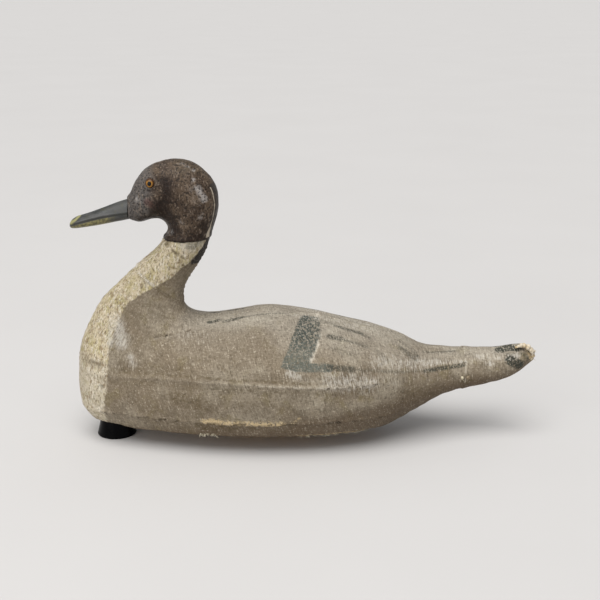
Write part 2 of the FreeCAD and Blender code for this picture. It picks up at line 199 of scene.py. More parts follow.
def body_grid(count=112):
    """A grid over the left half of body, neck and tail. Rows end at the board's corner, or at the belly."""
    tree = skin_tree(["left_canvas", "right_canvas", "neck_canvas", "tail_canvas"])
    rear, front = board_end(tree, 2.0, 4.0), board_end(tree, 13.0, 8.0)
    steps = np.arange(1, 6) ** 2 / 36      # closer rows where the board's outline turns fastest
    extra = [rear, front]
    for end, reach in ((rear, 0.1), (rear, -0.03), (front, -0.35), (front, 0.1)):
        extra += list(end + reach * steps)
    grid, cornered = [], []
    for place in np.unique(np.concatenate((stations(BODY_FAN, 2.3, 45), extra))):
        points, corner = body_section(tree, place)
        line = respaced(points, count)
        line[0, 1] = 0
        if not corner:
            line[-1, 1] = 0
        grid.append(line)
        cornered.append(corner)
    grid, corner = np.array(grid), np.flatnonzero(cornered)
    edge = grid[corner, -1]
    for _ in range(12):
        edge[1:-1] = evened(edge)
    even = smoothed(grid, 3)
    even[:, -1] = grid[:, -1]
    even[corner, -1] = edge
    return even, corner


# ---- relief: what the hand, the wear and the wood under it do to the skin ----

def bump(distance, width):
    """A smooth ridge: 1 at distance 0, fading over the width."""
    return np.exp(-(distance / width) ** 2)


def ease(value, low, high):
    """0 below low and 1 above high, smoothly."""
    t = np.clip((value - low) / (high - low), 0, 1)
    return t * t * (3 - 2 * t)


def fall(value, low, high):
    """1 below low and 0 above high, smoothly."""
    return 1 - ease(value, low, high)


def between(value, low, full, fade, high):
    """Rises smoothly from low to full and falls again from fade to high."""
    return ease(value, low, full) * fall(value, fade, high)


def lumps(points, size, seed=0.0):
    """Smooth noise from -1 to 1 with lumps of one size, in mm."""
    offset = Vector((seed, seed * 1.7, seed * 0.6))
    return np.array([noise.noise(Vector(p) / size + offset) for p in points])


def line_distance(points, line):
    """Distance of points from a line of straight stretches."""
    line = np.asarray(line, float)
    best = np.full(len(points), 1e9)
    for start, end in zip(line[:-1], line[1:]):
        way = end - start
        t = np.clip((points - start) @ way / (way @ way), 0, 1)
        best = np.minimum(best, np.linalg.norm(points - start - t[:, None] * way, axis=1))
    return best


def inside(points, ring):
    """Signed distance from a closed outline in the plane: positive inside."""
    ring = np.asarray(ring, float)
    closed = np.vstack((ring, ring[:1]))
    crossings = np.zeros(len(points), int)
    for (x0, z0), (x1, z1) in zip(closed[:-1], closed[1:]):
        spans = (points[:, 1] > z0) != (points[:, 1] > z1)
        at = x0 + (points[:, 1] - z0) * (x1 - x0) / (z1 - z0 if z1 != z0 else 1e-9)
        crossings += spans & (points[:, 0] < at)
    return np.where(crossings % 2 == 1, 1, -1) * line_distance(points, closed)


def stringer_level(x):
    """Height of the ridge that the side strip makes in the canvas."""
    return np.interp(x, (-195, -149, -121, -99, -53, -6, 33, 57), (77, 80, 81.2, 81, 80.5, 77.3, 75.3, 74.8))


def above_line(points, line):
    """Signed distance above a slanting plane across the duck."""
    (x0, z0), (x1, z1) = line
    length = math.hypot(x1 - x0, z1 - z0)
    return ((points[:, 2] - z0) * (x0 - x1) + (points[:, 0] - x0) * (z1 - z0)) / length


def folded_over(points):
    """x and z of the points, their distance from the middle, and the points laid over to one side."""
    x, y, z = points.T
    side = np.abs(y)
    return x, z, side, np.stack([x, side, z], axis=1)


def carved(folded, table):
    """Ridges and hollows along lines; a row is a line of points (x, |y|, z), a height and a width."""
    return sum(height * bump(line_distance(folded, line), width) for line, height, width in table)


# Folds of the canvas over the rump
RUMP_FOLDS = (
    (((74, 6, 111), (88, 11, 106), (101, 16, 99), (110, 21, 92)), 0.9, 2.2),
    (((84, 3, 109), (98, 8, 104), (112, 11, 97)), 0.7, 1.8),
    (((80, 18, 106), (92, 23, 101), (100, 27, 95)), 0.6, 2.0),
)
LOW_CREASE = ((40, 62.5), (62, 60), (99, 53.5))


def wood_relief(x, z, side, flat, board_wave):
    """What the strips, the board and the blocks under the canvas do to it, in mm."""
    strip = z - stringer_level(x)
    out = 1.1 * bump(strip, 1.9) - 0.5 * bump(strip - 7, 4) - 0.45 * bump(strip + 9, 6)
    out *= ease(side, 22, 34) * fall(x, 55, 85)
    on_board = fall(x, 70, 98) * fall(z, 60, 70)
    out += on_board * (1.0 * bump(z - 37 - board_wave, 2.2) - 0.25 * bump(z - 29, 4))
    out -= 0.6 * bump(line_distance(flat, LOW_CREASE), 1.1) * ease(side, 20, 30)
    breast = fall(x, -215, -198) * fall(side, 20, 42)
    out += breast * (2.4 * bump(z - 30, 16) - 1.0 * bump(z - 118, 26))
    back = fall(side, 10, 24) * (z > 90)
    out += (0.9 * bump(x - 20, 14) - 1.1 * bump(x - 54, 14)) * back
    middle = fall(z, 196, 206) * fall(x, 208, 222)
    return out + middle * 0.5 * bump(side, 1.3) * (1 + 0.5 * np.sin((x + z) * 1.1))


def neck_relief(points, x):
    """The neck canvas: its seam, the crease under the throat and the pull of the cloth, in mm."""
    seam, fold = above_line(points, NECK_SEAM), above_line(points, NECK_FOLD)
    out = 0.8 * bump(seam, 1.0) + 0.35 * between(seam, 0, 2, 4, 22)
    out += fall(x, -122, -114) * (0.5 * bump(fold - 2.6, 1.6) - 0.8 * bump(fold, 1.0))
    return out + 0.14 * np.sin(seam * 0.9 + 3 * lumps(points, 22, 4))


def canvas_relief(points):
    """How far the canvas stands out from the plain skin, in mm."""
    x, z, side, folded = folded_over(points)
    out = wood_relief(x, z, side, points[:, [0, 2]], 1.2 * lumps(points, 60, 3))
    out += np.where((x < NECK_REAR) & (z > NECK_LOW), neck_relief(points, x), 0)
    out += carved(folded, RUMP_FOLDS)
    out += 0.6 * lumps(points, 42) + 0.32 * lumps(points, 15, 2) + 0.16 * lumps(points, 6, 5)
    pull = np.sin((x * 0.5 + z * 0.9) * 0.55 + 2.5 * lumps(points, 30, 9))
    out += 0.16 * pull * between(x, 60, 110, 190, 215)
    out += ease(x, 205, 228) * (0.9 * lumps(points, 9, 11) - 0.5)
    out = np.maximum(out, np.where(z < 42, -0.35, -1.2))
    return np.where(z < BOARD_LOW / MM + 2, np.maximum(0.1 * out, 0), out)


# ---- meshes ----

def show(name, data):
    """A new object in the scene."""
    shown = bpy.data.objects.new(name, data)
    bpy.context.scene.collection.objects.link(shown)
    return shown


def new_mesh(name, points, faces, threads=None):
    """A mesh object from points in mm. The threads are each point's place on the flat cloth, in metres."""
    mesh = bpy.data.meshes.new(name)
    mesh.from_pydata([tuple(p * MM) for p in points], [], faces)
    if threads is not None:
        attribute = mesh.attributes.new("threads", "FLOAT_VECTOR", "POINT")
        attribute.data.foreach_set("vector", np.asarray(threads, np.float32).ravel())
    mesh.update()
    return show(name, mesh)


def rework(shown, change):
    """Change a mesh through bmesh."""
    work = bmesh.new()
    work.from_mesh(shown.data)
    change(work)
    work.to_mesh(shown.data)
    work.free()
    return shown


def points_of(shown):
    """The points of a mesh, in mm."""
    return np.array([v.co for v in shown.data.vertices]) / MM


def grid_faces(rows, columns, flip, offset=0):
    faces = []
    for i in range(rows - 1):
        for j in range(columns - 1):
            a = offset + i * columns + j
            quad = (a, a + 1, a + columns + 1, a + columns)
            faces.append(quad[::-1] if flip else quad)
    return faces


def row_lengths(grid, axis):
    """Length from the grid's first row or column to each point."""
    step = np.linalg.norm(np.diff(grid, axis=axis), axis=2)
    start = np.zeros_like(step[:1] if axis == 0 else step[:, :1])
    return np.concatenate((start, np.cumsum(step, axis=axis)), axis=axis)


# How far the rows of the hem lie in from the board's edge
HEM_REACH = (0.5, 1.6, 3.2, 5.5, 8, 10.5, 12.2, 13.0)


def hem_grid(edge):
    """The canvas folded under the board, from the rounded corner inward. Its outer edge is given in order."""
    way = np.gradient(edge, axis=0)
    inward = np.stack([-way[:, 1], way[:, 0], np.zeros(len(edge))], axis=1)
    inward /= np.maximum(np.linalg.norm(inward, axis=1), 1e-9)[:, None]
    inward *= np.sign(inward[len(edge) // 2, 1])
    for _ in range(6):
        inward[1:-1] = evened(inward)
    inward[0], inward[-1] = (-1, 0, 0), (1, 0, 0)
    if edge[0, 0] < edge[-1, 0]:
        inward[0], inward[-1] = inward[-1].copy(), inward[0].copy()
    inward /= np.linalg.norm(inward, axis=1)[:, None]
    rows = [edge]
    for reach in HEM_REACH:
        row = edge + inward * reach
        row[:, 1] = np.minimum(row[:, 1], 0)
        rows.append(row)
    return np.array(rows)


def whole_skin():
    """Body, neck and tail in one mesh: the left half and its mirror image, joined along the middle."""
    grid, edge_rows = body_grid()
    grid = grid / MM
    rows, columns = grid.shape[:2]
    along, around = row_lengths(grid, 0), row_lengths(grid, 1)
    edge = grid[edge_rows, -1].copy()
    edge[0, 1] = edge[-1, 1] = 0
    hem = hem_grid(edge)
    depth, width = hem.shape[:2]
    points, threads, faces = [], [], []
    for side in (1, -1):
        start = len(points)
        points += list(grid.reshape(-1, 3) * (1, side, 1))
        threads += [(u * MM, v * MM, side) for u, v in zip(along.ravel(), around.ravel())]
        faces += grid_faces(rows, columns, side < 0, start)
        hem_start = len(points)
        for reach, row in zip(HEM_REACH, hem[1:]):
            points += list(row * (1, side, 1))
            threads += [(along[i, -1] * MM, (around[i, -1] + reach) * MM, side) for i in edge_rows]
        ring = [[start + i * columns + columns - 1 for i in edge_rows]]
        ring += [[hem_start + k * width + i for i in range(width)] for k in range(depth - 1)]
        for upper, lower in zip(ring[:-1], ring[1:]):
            for i in range(width - 1):
                quad = (upper[i], lower[i], lower[i + 1], upper[i + 1])
                faces.append(quad[::-1] if side < 0 else quad)

    def join(work):
        bmesh.ops.remove_doubles(work, verts=work.verts, dist=0.02 * MM)
        bmesh.ops.dissolve_degenerate(work, edges=work.edges, dist=0.005 * MM)
        bmesh.ops.recalc_face_normals(work, faces=work.faces)

    return rework(new_mesh("skin", np.array(points), faces, threads), join)


def stand_out(shown, relief):
    """Move a mesh's points along their normals by the relief, in mm."""
    mesh = shown.data
    points = points_of(shown)
    normals = np.array([v.normal for v in mesh.vertices])
    moved = (points + normals * relief(points)[:, None]) * MM
    mesh.vertices.foreach_set("co", moved.astype(np.float32).ravel())
    mesh.update()


WOOD = (
    "bottom_board", "breast_block", "tail_block", "neck_core", "neck_post", "left_stringer", "right_stringer",
    "ridge_strip", "rib_1", "rib_2", "rib_3", "rib_4", "rib_5",
)


def clear_of_wood(shown, gap=0.45):
    """Push the cloth's outer face out where it lies closer than the gap to the wood inside."""
    wood = skin_tree(WOOD)
    for vertex in shown.data.vertices:
        place, normal, _, _ = wood.find_nearest(vertex.co, 5 * MM)
        room = gap if vertex.co.z > BOARD_LOW + 6 * MM else 1.1
        if place is not None and (vertex.co - place).dot(normal) < room * MM:
            vertex.co = place + normal * room * MM
    shown.data.update()


def keep_part(source, name, wanted):
    """A new object with the faces whose middle is wanted."""
    part = show(name, source.data.copy())
    part.data.name = name

    def clear(work):
        gone = [f for f in work.faces if not wanted(f.calc_center_median() / MM)]
        bmesh.ops.delete(work, geom=gone, context="FACES")

    return rework(part, clear)


def in_neck(p):
    """Whether a point lies on the neck's side of its seam."""
    (x0, z0), (x1, z1) = NECK_SEAM
    return p.x < NECK_REAR and p.z > NECK_LOW and (p.z - z0) * (x0 - x1) + (p.x - x0) * (z1 - z0) > 0


def thicken(shown, thickness):
    """Give cloth its thickness, towards the inside."""
    solid = shown.modifiers.new("thickness", "SOLIDIFY")
    solid.thickness = thickness * MM
    solid.offset = -1
    solid.use_quality_normals = True


def paint(shown, **masks):
    """Write values for each point of a mesh, which its material reads by their names."""
    for name, values in masks.items():
        attribute = shown.data.attributes.new(name, "FLOAT", "POINT")
        attribute.data.foreach_set("value", np.asarray(values, np.float32))


# ---- paint: outlines on the side of the duck, in mm; each mask is a distance, positive inside ----

CREAM_EDGE = (
    (-200, 0), (-200.5, 39), (-194.5, 76), (-193, 105), (-187.5, 118), (-177, 144), (-159.5, 157),
    (-147, 163), (-132, 171), (-120.5, 181), (-115, 185), (-102, 198), (-96, 208), (-80, 230),
)
SPECULUM = (
    (-3, 130), (5, 131), (13.5, 128), (14.5, 119), (4.5, 99.5), (27, 97.3), (25, 90.4), (-13, 93.0),
    (-24, 96.5), (-21, 104), (-12, 121), (-8, 128),
)
# Feather strokes: points (x, |y|, z), half width in mm and strength
STROKES = (
    (((22, 64, 94), (45, 61, 91)), 3.4, 0.8),
    (((45, 61, 91), (70, 54, 87), (92, 46, 83)), 1.7, 0.45),
    (((92, 46, 83), (118, 34, 80)), 1.1, 0.5),
    (((118, 34, 80), (135, 26, 79.5), (158, 19.5, 81)), 2.3, 0.95),
    (((16, 17, 125), (26, 17, 123.5)), 3.2, 0.35),
    (((30, 19.4, 121.6), (43, 21.5, 118), (55, 23, 115)), 2.6, 0.85),
    (((56, 25, 113), (62, 26, 111)), 2.3, 0.6),
    (((23, 39, 117), (36, 38, 114)), 3.4, 0.85),
    (((38, 38.5, 112.6), (59, 39.6, 107)), 2.0, 0.6),
    (((25, 50.5, 109.5), (43, 52.5, 104)), 2.6, 0.3),
    (((64, 33, 112), (70, 34, 110)), 3.0, 0.35),
    (((70, 42, 103), (76, 44, 96)), 4.0, 0.25),
    (((-95, 16.5, 124.6), (-87, 14, 126)), 3.0, 1.0),
    (((-80, 18, 126), (-64, 15.5, 129.4)), 2.8, 0.95),
    (((-62, 15.5, 129.7), (-40, 16, 133), (-21, 12, 132.7)), 1.6, 0.6),
    (((92, 14, 104), (102, 18, 98), (112, 24, 90.5)), 1.6, 0.9),
    (((93, 24, 99), (101, 27, 95), (108, 28, 91)), 3.8, 0.6),
    (((118, 14, 92.8), (135, 11, 92), (151, 7.5, 91.6)), 1.6, 0.7),
    (((110, 22, 89), (132, 19, 87)), 1.0, 0.4),
    (((195, 6, 93.5), (206, 4, 94), (212, 6, 93)), 5.0, 1.4),
    (((205, 15, 84), (215, 13, 79)), 5.0, 1.4),
    (((202, 12, 89), (214, 10, 88)), 2.5, 0.6),
    (((212, 13, 93), (220, 12, 89), (225, 10, 82)), 1.5, 1.0),
    (((-113, 22, 202.5), (-101, 18.5, 204)), 3.0, 0.5),
    (((-203.5, 36, 65.6), (-199.5, 39.5, 65.4)), 1.2, 0.9),
)
# Soft patches of other colours: points (x, |y|, z), reach in mm and strength
PALE = (
    (((-194, 27, 138), (-192, 31, 124), (-192, 34, 108)), 4.5, 0.85),
    (((-186, 30, 130), (-179, 36, 110)), 9, 0.8),
    (((168, 14, 88), (195, 14, 87)), 9, 0.35),
    (((24, 68, 82), (62, 60, 76)), 13, 0.55),
    (((-171, 43, 97), (-169, 45, 92)), 6, 0.55),
    (((110, 30, 88), (138, 22, 85)), 5, 0.6),
    (((146, 20, 85), (160, 18, 84)), 3.5, 0.5),
    (((182, 17, 82), (187, 16.5, 80)), 3.5, 0.65),
    (((203, 15, 86.5), (212, 12, 88)), 4, 1.0),
    (((-16, 71, 91), (-8, 71, 88)), 4.5, 0.8),
    (((22, 66, 89), (24, 66, 87)), 3, 0.6),
    (((-6, 71, 85), (12, 70, 84)), 4, 0.35),
    (((70, 50, 93), (92, 42, 90), (118, 32, 86)), 15, 0.38),
    (((70, 50, 80), (84, 46, 72)), 12, 0.3),
    (((-118, 22.5, 204), (-108, 20.5, 202), (-100, 17, 205)), 7, 0.8),
    (((-96, 60, 97), (-90, 62, 92)), 5, 0.35),
    # painted highlight on the top of the back
    (((6, 12, 130), (13, 13, 128)), 2.5, 0.8),
    (((-10, 10, 131), (30, 10, 123), (70, 8, 112)), 14, 0.25),
    (((-114, 38, 122), (-98, 42, 120)), 15, 0.25),
)
# Stains, and painted shade: in the crease under the throat, below each sleeve knot and low on the side under
# the board's top edge
STAINS_AND_SHADE = (
    # painted shade in the crease under the throat
    (((-134, 15, 203.5), (-121, 22.3, 192)), 3.0, 1.7),
    # painted shadow below the sleeve knot
    (((158, 21.5, 65.5), (163, 20, 63)), 4.5, 1.9),
    (((-226, 14, 90), (-215, 26, 88), (-203, 34, 86)), 6, 0.5),
    (((-230, 6, 96), (-224, 16, 94)), 7, 0.35),
    (((-190, 40, 84), (-170, 47, 85), (-152, 53, 85)), 6, 0.4),
    (((-125, 62, 63), (-108, 63, 59), (-95, 64, 57)), 9, 0.7),
    (((-190, 40, 100), (-180, 46, 88)), 8, 0.35),
    (((-150, 30, 140), (-140, 30, 140)), 8, 0.3),
    (((-158, 52, 91), (-134, 58, 90), (-112, 62, 90)), 8, 0.35),
    (((-70, 66, 88), (-62, 67, 85)), 6, 0.4),
    (((100, 40, 60), (140, 30, 52)), 16, 0.35),
    # painted shade low on the side, under the board's top edge
    (((-104, 62, 31), (-60, 70, 30), (-24, 72, 30)), 5.5, 1.3),
    (((-150, 56, 62), (-146, 56, 50)), 9, 0.3),
    (((-60, 71, 60), (-20, 73, 58)), 10, 0.3),
)
# Soft patches where the paint is darker and duller; the patch down the breast's front edge is painted shade
DUSK = (
    (((-95, 48, 114), (-70, 54, 112), (-50, 54, 116)), 22, 0.75),
    (((-160, 48, 92), (-128, 57, 86)), 16, 0.3),
    (((-115, 60, 62), (-60, 70, 60)), 12, 0.35),
    # painted shade down the breast's front edge
    (((-221, 14, 130), (-226, 18, 100), (-224, 20, 70)), 20, 0.3),
    (((112, 10, 98), (135, 8, 93)), 8, 0.5),
)
# Places in the plane of the side: the bare strip over the board, its rear end, the frayed stretch of the
# hem, and the quills behind and above the speculum
BARE_STRIP = ((-98, 38), (-80, 37.5), (-60, 37), (-22, 36.5))
BARE_END = ((-22, 36.5), (-12, 38), (-5, 46))
FRAYED_HEM = ((-8, 20), (60, 20))
REAR_QUILL = ((14.5, 118), (5, 101))
TOP_QUILL = ((6, 131), (13, 128.6))
# Where the darkening low on the sides fades out above the hem: x, and the height there
LOWER_DARK_TOP = (
    (-230, 20), (-110, 24), (-95, 35), (-23, 36), (14, 45), (60, 50), (93, 56), (130, 62), (160, 66),
    (200, 72), (231, 80),
)
# Half width of the dark strip down the back of the neck: height, and the half width there
NAPE_HALF = ((183, 15), (187, 16.2), (196, 14.4), (205, 11.0), (210, 10.0))


def patches(folded, shapes):
    """Soft patches: each is strongest on its line and fades over its reach."""
    best = np.zeros(len(folded))
    for line, reach, strength in shapes:
        best = np.maximum(best, strength * (1.35 - line_distance(folded, line) / reach))
    return np.maximum(best, 0)


def over_line(at, line):
    """The height of a line of (place, height) points at other places."""
    return np.interp(at, *zip(*line))


def paint_areas(shown):
    """Where the canvas is cream, dark or bare: distances in mm, positive inside."""
    points = points_of(shown)
    x, z, side, folded = folded_over(points)
    flat = points[:, [0, 2]]
    edge = line_distance(flat, CREAM_EDGE)
    border = np.interp(z, [p[1] for p in CREAM_EDGE], [p[0] for p in CREAM_EDGE])
    top = np.where(points[:, 1] < 0, 7.5, 20) + 0.25 * (z - 122)
    strokes = np.zeros(len(points))
    for line, half, strength in STROKES:
        strokes = np.maximum(strokes, strength * ease(half - line_distance(folded, line), -1.0, 1.2))
    nape = np.minimum(over_line(z, NAPE_HALF) - side, z - 181.5 - 0.12 * side)
    collar = z - 207.0 + 0.9 * lumps(points, 6, 17)
    strip = np.minimum(line_distance(flat, BARE_STRIP), 2.6 + line_distance(flat, BARE_END))
    worn = 2.4 - strip * np.where(z < 37, 1.6, 0.8) + 1.2 * bump(x + 90, 10)
    fringe = np.where(z > 20.2, 1.5 - line_distance(flat, FRAYED_HEM), -9)
    bare_tip = x - 225 + 0.5 * (z - 86)
    paint(
        shown, cream=np.where(x < border, edge, -edge), lower_cream=86 - z,
        dark=np.minimum(inside(flat, SPECULUM), side - top), stroke=strokes,
        nape=np.maximum(np.where(x > -125, nape, -20), collar),
        worn=np.maximum.reduce([worn, fringe, bare_tip]), grime=over_line(x, LOWER_DARK_TOP) - z,
    )


def paint_wear(shown):
    """How strongly the canvas is worn, faded, dulled or stained, from 0; these masks also carry painted
    highlight and painted shade.
    """
    points = points_of(shown)
    x, z, side, folded = folded_over(points)
    flat = points[:, [0, 2]]
    level = z - stringer_level(x)
    seam = above_line(points, NECK_SEAM)
    on_strip = ease(side, 30, 40) * fall(x, 60, 80)
    # ridge: a painted highlight along the side strip's ridge
    ridge = bump(level, 1.0) * on_strip * (0.10 + 0.62 * ease(x, -75, -30))
    seam_edge = bump(seam, 0.8) * (z > NECK_LOW) * fall(x, -147.5, -144.5)
    quill = bump(line_distance(flat, REAR_QUILL) - 0.4, 0.9) * (z > 98)
    top_quill = 1.1 * bump(line_distance(flat, TOP_QUILL), 1.3) * (points[:, 1] < 0)
    sleeve = bump(x - SLEEVE_SEAM / MM, 0.8) * (z > 62) * (side > 6)
    # front: darker over the front half of the body, below the back
    front = 0.34 * fall(x, -45, 0) * fall(z, 120, 138) * ease(x, -203, -192)
    # Painted shade: dark lines above and below the side strip's ridge, and under the neck seam
    shade = (0.65 * bump(level - 4.0, 1.8) + 0.4 * bump(level + 6, 3.5)) * on_strip
    shade += 0.7 * bump(seam + 1.9, 0.9) * ((z > NECK_LOW) & (x < -134))
    # The stain mask holds real stains and this painted shade
    paint(
        shown, rubbed=np.maximum.reduce([ridge, 2.6 * seam_edge, 0.9 * quill, 0.9 * top_quill, 0.7 * sleeve]),
        pale=patches(folded, PALE), dusk=front + patches(folded, DUSK),
        stain=np.maximum(patches(folded, STAINS_AND_SHADE), shade),
    )


# ---- head and bill ----

def tube_grid(fan, names, spacing, lever, count, mended=None):
    """A closed-round grid over a solid: both halves of each section, back to belly and back again."""
    tree = skin_tree(names)
    angles = np.linspace(*HALF_TURN, count)
    grid = []
    for place in stations(fan, spacing, lever):
        points = np.array(outline(tree, curve(fan, np.array([place]))[0], angles, shell=False)) / MM
        points[0, 1] = points[-1, 1] = 0
        grid.append(points)
    grid = np.array(grid)
    if mended is not None:
        holes = mended(grid)
        for _ in range(400):
            middle = (grid[:-2, 1:-1] + grid[2:, 1:-1] + grid[1:-1, :-2] + grid[1:-1, 2:]) / 4
            patch = holes[1:-1, 1:-1, None]
            grid[1:-1, 1:-1] = np.where(patch, middle, grid[1:-1, 1:-1])
    grid = smoothed(grid, 2)
    right = grid[:, -2:0:-1] * (1, -1, 1)
    return np.concatenate((grid, right), axis=1)


def round_mesh(name, grid):
    """A closed mesh from rings, with both ends filled."""
    rows, columns = grid.shape[:2]
    faces = []
    for i in range(rows - 1):
        for j in range(columns):
            a, b = i * columns + j, i * columns + (j + 1) % columns
            faces.append((a, b, b + columns, a + columns))

    def close(work):
        bmesh.ops.holes_fill(work, edges=work.edges, sides=0)
        ends = [f for f in work.faces if len(f.verts) > 4]
        bmesh.ops.poke(work, faces=ends)
        bmesh.ops.recalc_face_normals(work, faces=work.faces)

    return rework(new_mesh(name, grid.reshape(-1, 3), faces), close)


def eye_distance(x, y, z):
    """Distance from the axis of the eye on the same side."""
    far = np.where(np.abs(y) > 6, 0, 50)
    return np.hypot(x - EYE.x / MM, z - EYE.z / MM) + far


# Carved hollows and swellings of the head: line of points (x, |y|, z), height and width
HEAD_CARVING = (
    (((-133, 21.5, 266), (-131, 23.5, 252), (-137, 22, 243)), -0.8, 4.0),
    (((-137, 22, 243), (-131, 18, 231), (-126, 19, 219)), -0.7, 5.0),
    (((-148, 19, 247), (-143, 20, 243)), 0.8, 7.0),
    (((-163, 11, 262), (-152, 15, 271), (-140, 16, 275)), 0.5, 3.0),
    (((-165, 12, 254), (-157, 16, 256)), -0.5, 3.5),
    (((-110, 22, 250), (-104, 23, 240)), 0.5, 9.0),
)
# Patches of the head's paint, scuffs and painted sheen: points (x, |y|, z), reach in mm and strength
HEAD_SCUFFS_AND_SHEEN = (
    (((-106.8, 12.6, 276), (-107.5, 13.5, 275)), 2.2, 0.9),
    (((-107, 19, 268), (-107.5, 19.5, 266.5)), 2.4, 0.9),
    # The next two rows: painted sheen on the back of the head
    (((-103, 21.2, 259.5), (-97.5, 20.8, 249.5)), 4.6, 1.05),
    (((-108, 22, 262), (-104, 22, 246)), 9.0, 0.3),
    (((-99.8, 22.5, 235), (-101, 22.8, 232)), 4.0, 0.55),
    (((-120.7, 21.4, 228), (-118, 21.6, 226)), 3.0, 0.5),
    (((-163, 16, 249), (-158, 18, 246)), 4.0, 0.55),
    (((-120, 10, 282), (-112, 12, 279)), 4.0, 0.45),
    (((-113, 20, 262), (-116, 21, 256)), 4.5, 0.45),
    (((-141, 9, 281), (-136, 10, 282)), 4.0, 0.35),
    (((-132, 8, 211), (-129, 13, 215)), 5.0, 0.7),
)
# Painted shade on the head: under the cheek, behind the eye, under the jaw and along the lower edge
HEAD_SHADE = (
    (((-133, 21.5, 267), (-131.5, 23.5, 252), (-137, 22, 243.5), (-146, 18.5, 236.5)), 6.5, 0.8),
    (((-140, 21, 243.5), (-133, 17.6, 231.6), (-127, 18, 219)), 9.0, 0.95),
    (((-122, 21, 214), (-112, 23, 211), (-100, 18, 213)), 5.0, 0.6),
    (((-160, 10, 228), (-148, 14, 231), (-140, 12, 229)), 6.0, 0.8),
    (((-118, 23, 245), (-110, 24, 232)), 8.0, 0.45),
    (((-100, 21, 226), (-96, 18, 219)), 7.0, 0.6),
)
HEAD_RED = ((((-151, 20, 246), (-145, 21, 243)), 5, 0.9),)
LINE_OUT = 11.8             # the thin line and the edge in the carving behind the cheek lie this far out


def head_relief(points):
    """The carving of the head: round the eyes, the hollows, the lip at the neck and the knife's marks."""
    x, z, side, folded = folded_over(points)
    eye = eye_distance(x, points[:, 1], z)
    out = 0.55 * bump(eye - 5.0, 0.9) - 0.9 * fall(eye, 3.6, 4.6)
    out += carved(folded, HEAD_CARVING) - 0.55 * bump(eye - 7.6, 2.0)
    lip = z - NECK_TOP / MM
    out += 0.8 * bump(lip - 1.5, 2.2) + 0.3 * lumps(points, 5, 21) * bump(lip, 3)
    out += 0.40 * lumps(points, 14, 5) + 0.26 * lumps(points, 6, 8) + 0.14 * lumps(points, 2.4, 13)
    out -= 0.5 * bump(side - LINE_OUT, 0.8) * between(z, 214, 222, 256, 264) * (x > -112)
    root = fall(x, BILL_ROOT / MM, BILL_ROOT / MM + 2.2)
    return out + root * (1.0 * ease(z, 240, 246) - 0.4 * fall(z, 236, 242))


def head_masks(shown):
    """The areas of the head's paint, its painted shade and its painted sheen: distances in mm, positive
    inside, and strengths from 0.
    """
    points = points_of(shown)
    x, z, side, folded = folded_over(points)
    rear = x > -113
    line = 0.85 + 1.6 * fall(z, 212, 224) - np.abs(side - LINE_OUT - 0.4 + 0.5 * lumps(points, 9, 3))
    line = np.minimum(line, np.minimum(z - 210, 259 - z))
    paint(
        shown, cream_line=np.where(rear, line, -9), nape=np.where(rear, np.minimum(11.5 - side, 262 - z), -9),
        # pale: scuffs, and the painted sheen on the back of the head
        pale=patches(folded, HEAD_SCUFFS_AND_SHEEN), face=-x - 148, crown=np.minimum(z - 273, x + 126),
        # painted shade in the hollows and along the head's lower edge
        deep=np.maximum(patches(folded, HEAD_SHADE), 0.7 * fall(z, 209, 216)),
        jaw=patches(folded, HEAD_RED),
    )


# The line of the mouth: x and z
MOUTH = ((-230.5, 220.2), (-219, 223.6), (-199, 228.4), (-172, 232.6))


def bill_relief(points):
    """The carving of the bill: the groove of the mouth, its swollen edge and the nail."""
    x, z, side, _ = folded_over(points)
    over = z - over_line(x, MOUTH)
    outer = ease(side, 2, 5)
    tip_fade = ease(x, -231, -228)
    out = -0.7 * bump(over, 0.55) * (0.35 + 0.65 * outer) + 0.45 * bump(over - 1.5, 1.1) * outer
    out -= 0.5 * fall(over, -1.6, 0.2) * outer * tip_fade
    nail = np.hypot((x + 227) / 6, side / 4.2)
    out += 0.35 * fall(nail, 0.85, 1.1) * (over > 1)
    out += 0.10 * lumps(points, 7, 2) + 0.05 * lumps(points, 2.5, 4)
    return out * tip_fade


def bill_masks(shown):
    """The areas of the bill's paint."""
    x, z, side, _ = folded_over(points_of(shown))
    over = z - over_line(x, MOUTH)
    nail = 1.0 - np.abs(np.hypot((x + 226) / 6.2, (side - 1.0) / 6.8) - 0.78) * 3.2
    paint(
        shown, olive=np.minimum(-1.2 - over, -0.12 * (x + 190)), nail=np.where(over > 0.2, nail, -1),
        mouth=bump(over, 0.7) + 0.5 * (over < -1.2) * ease(-x, 226, 229), root=x + 172.5,
    )


# ---- small pieces ----

def tube(points, radius, sides=6):
    """Points and faces of a thin round thread along a line, closed at both ends."""
    points = [Vector(p) for p in points]
    ring_points, faces = [], []
    for index, place in enumerate(points):
        way = (points[min(index + 1, len(points) - 1)] - points[max(index - 1, 0)]).normalized()
        across = way.cross(Vector((0.31, 0.22, 0.92))).normalized()
        other = way.cross(across)
        thin = radius * (0.55 if index in (0, len(points) - 1) else 1)
        for k in range(sides):
            turn = 2 * math.pi * k / sides
            ring_points.append(place + thin * (across * math.cos(turn) + other * math.sin(turn)))
    for index in range(len(points) - 1):
        for k in range(sides):
            a, b = index * sides + k, index * sides + (k + 1) % sides
            faces.append((a, b, b + sides, a + sides))
    faces.append(tuple(range(sides))[::-1])
    faces.append(tuple((len(points) - 1) * sides + k for k in range(sides)))
    return ring_points, faces


def thread_mesh(name, lines):
    """Threads in one mesh: each row of lines is a line of points and a radius."""
    points, faces = [], []
    for line, radius in lines:
        ring, tube_faces = tube(line, radius)
        faces += [tuple(len(points) + i for i in face) for face in tube_faces]
        points += [np.array(p) for p in ring]
    shown = new_mesh(name, points, faces)
    return rework(shown, lambda work: bmesh.ops.recalc_face_normals(work, faces=work.faces))


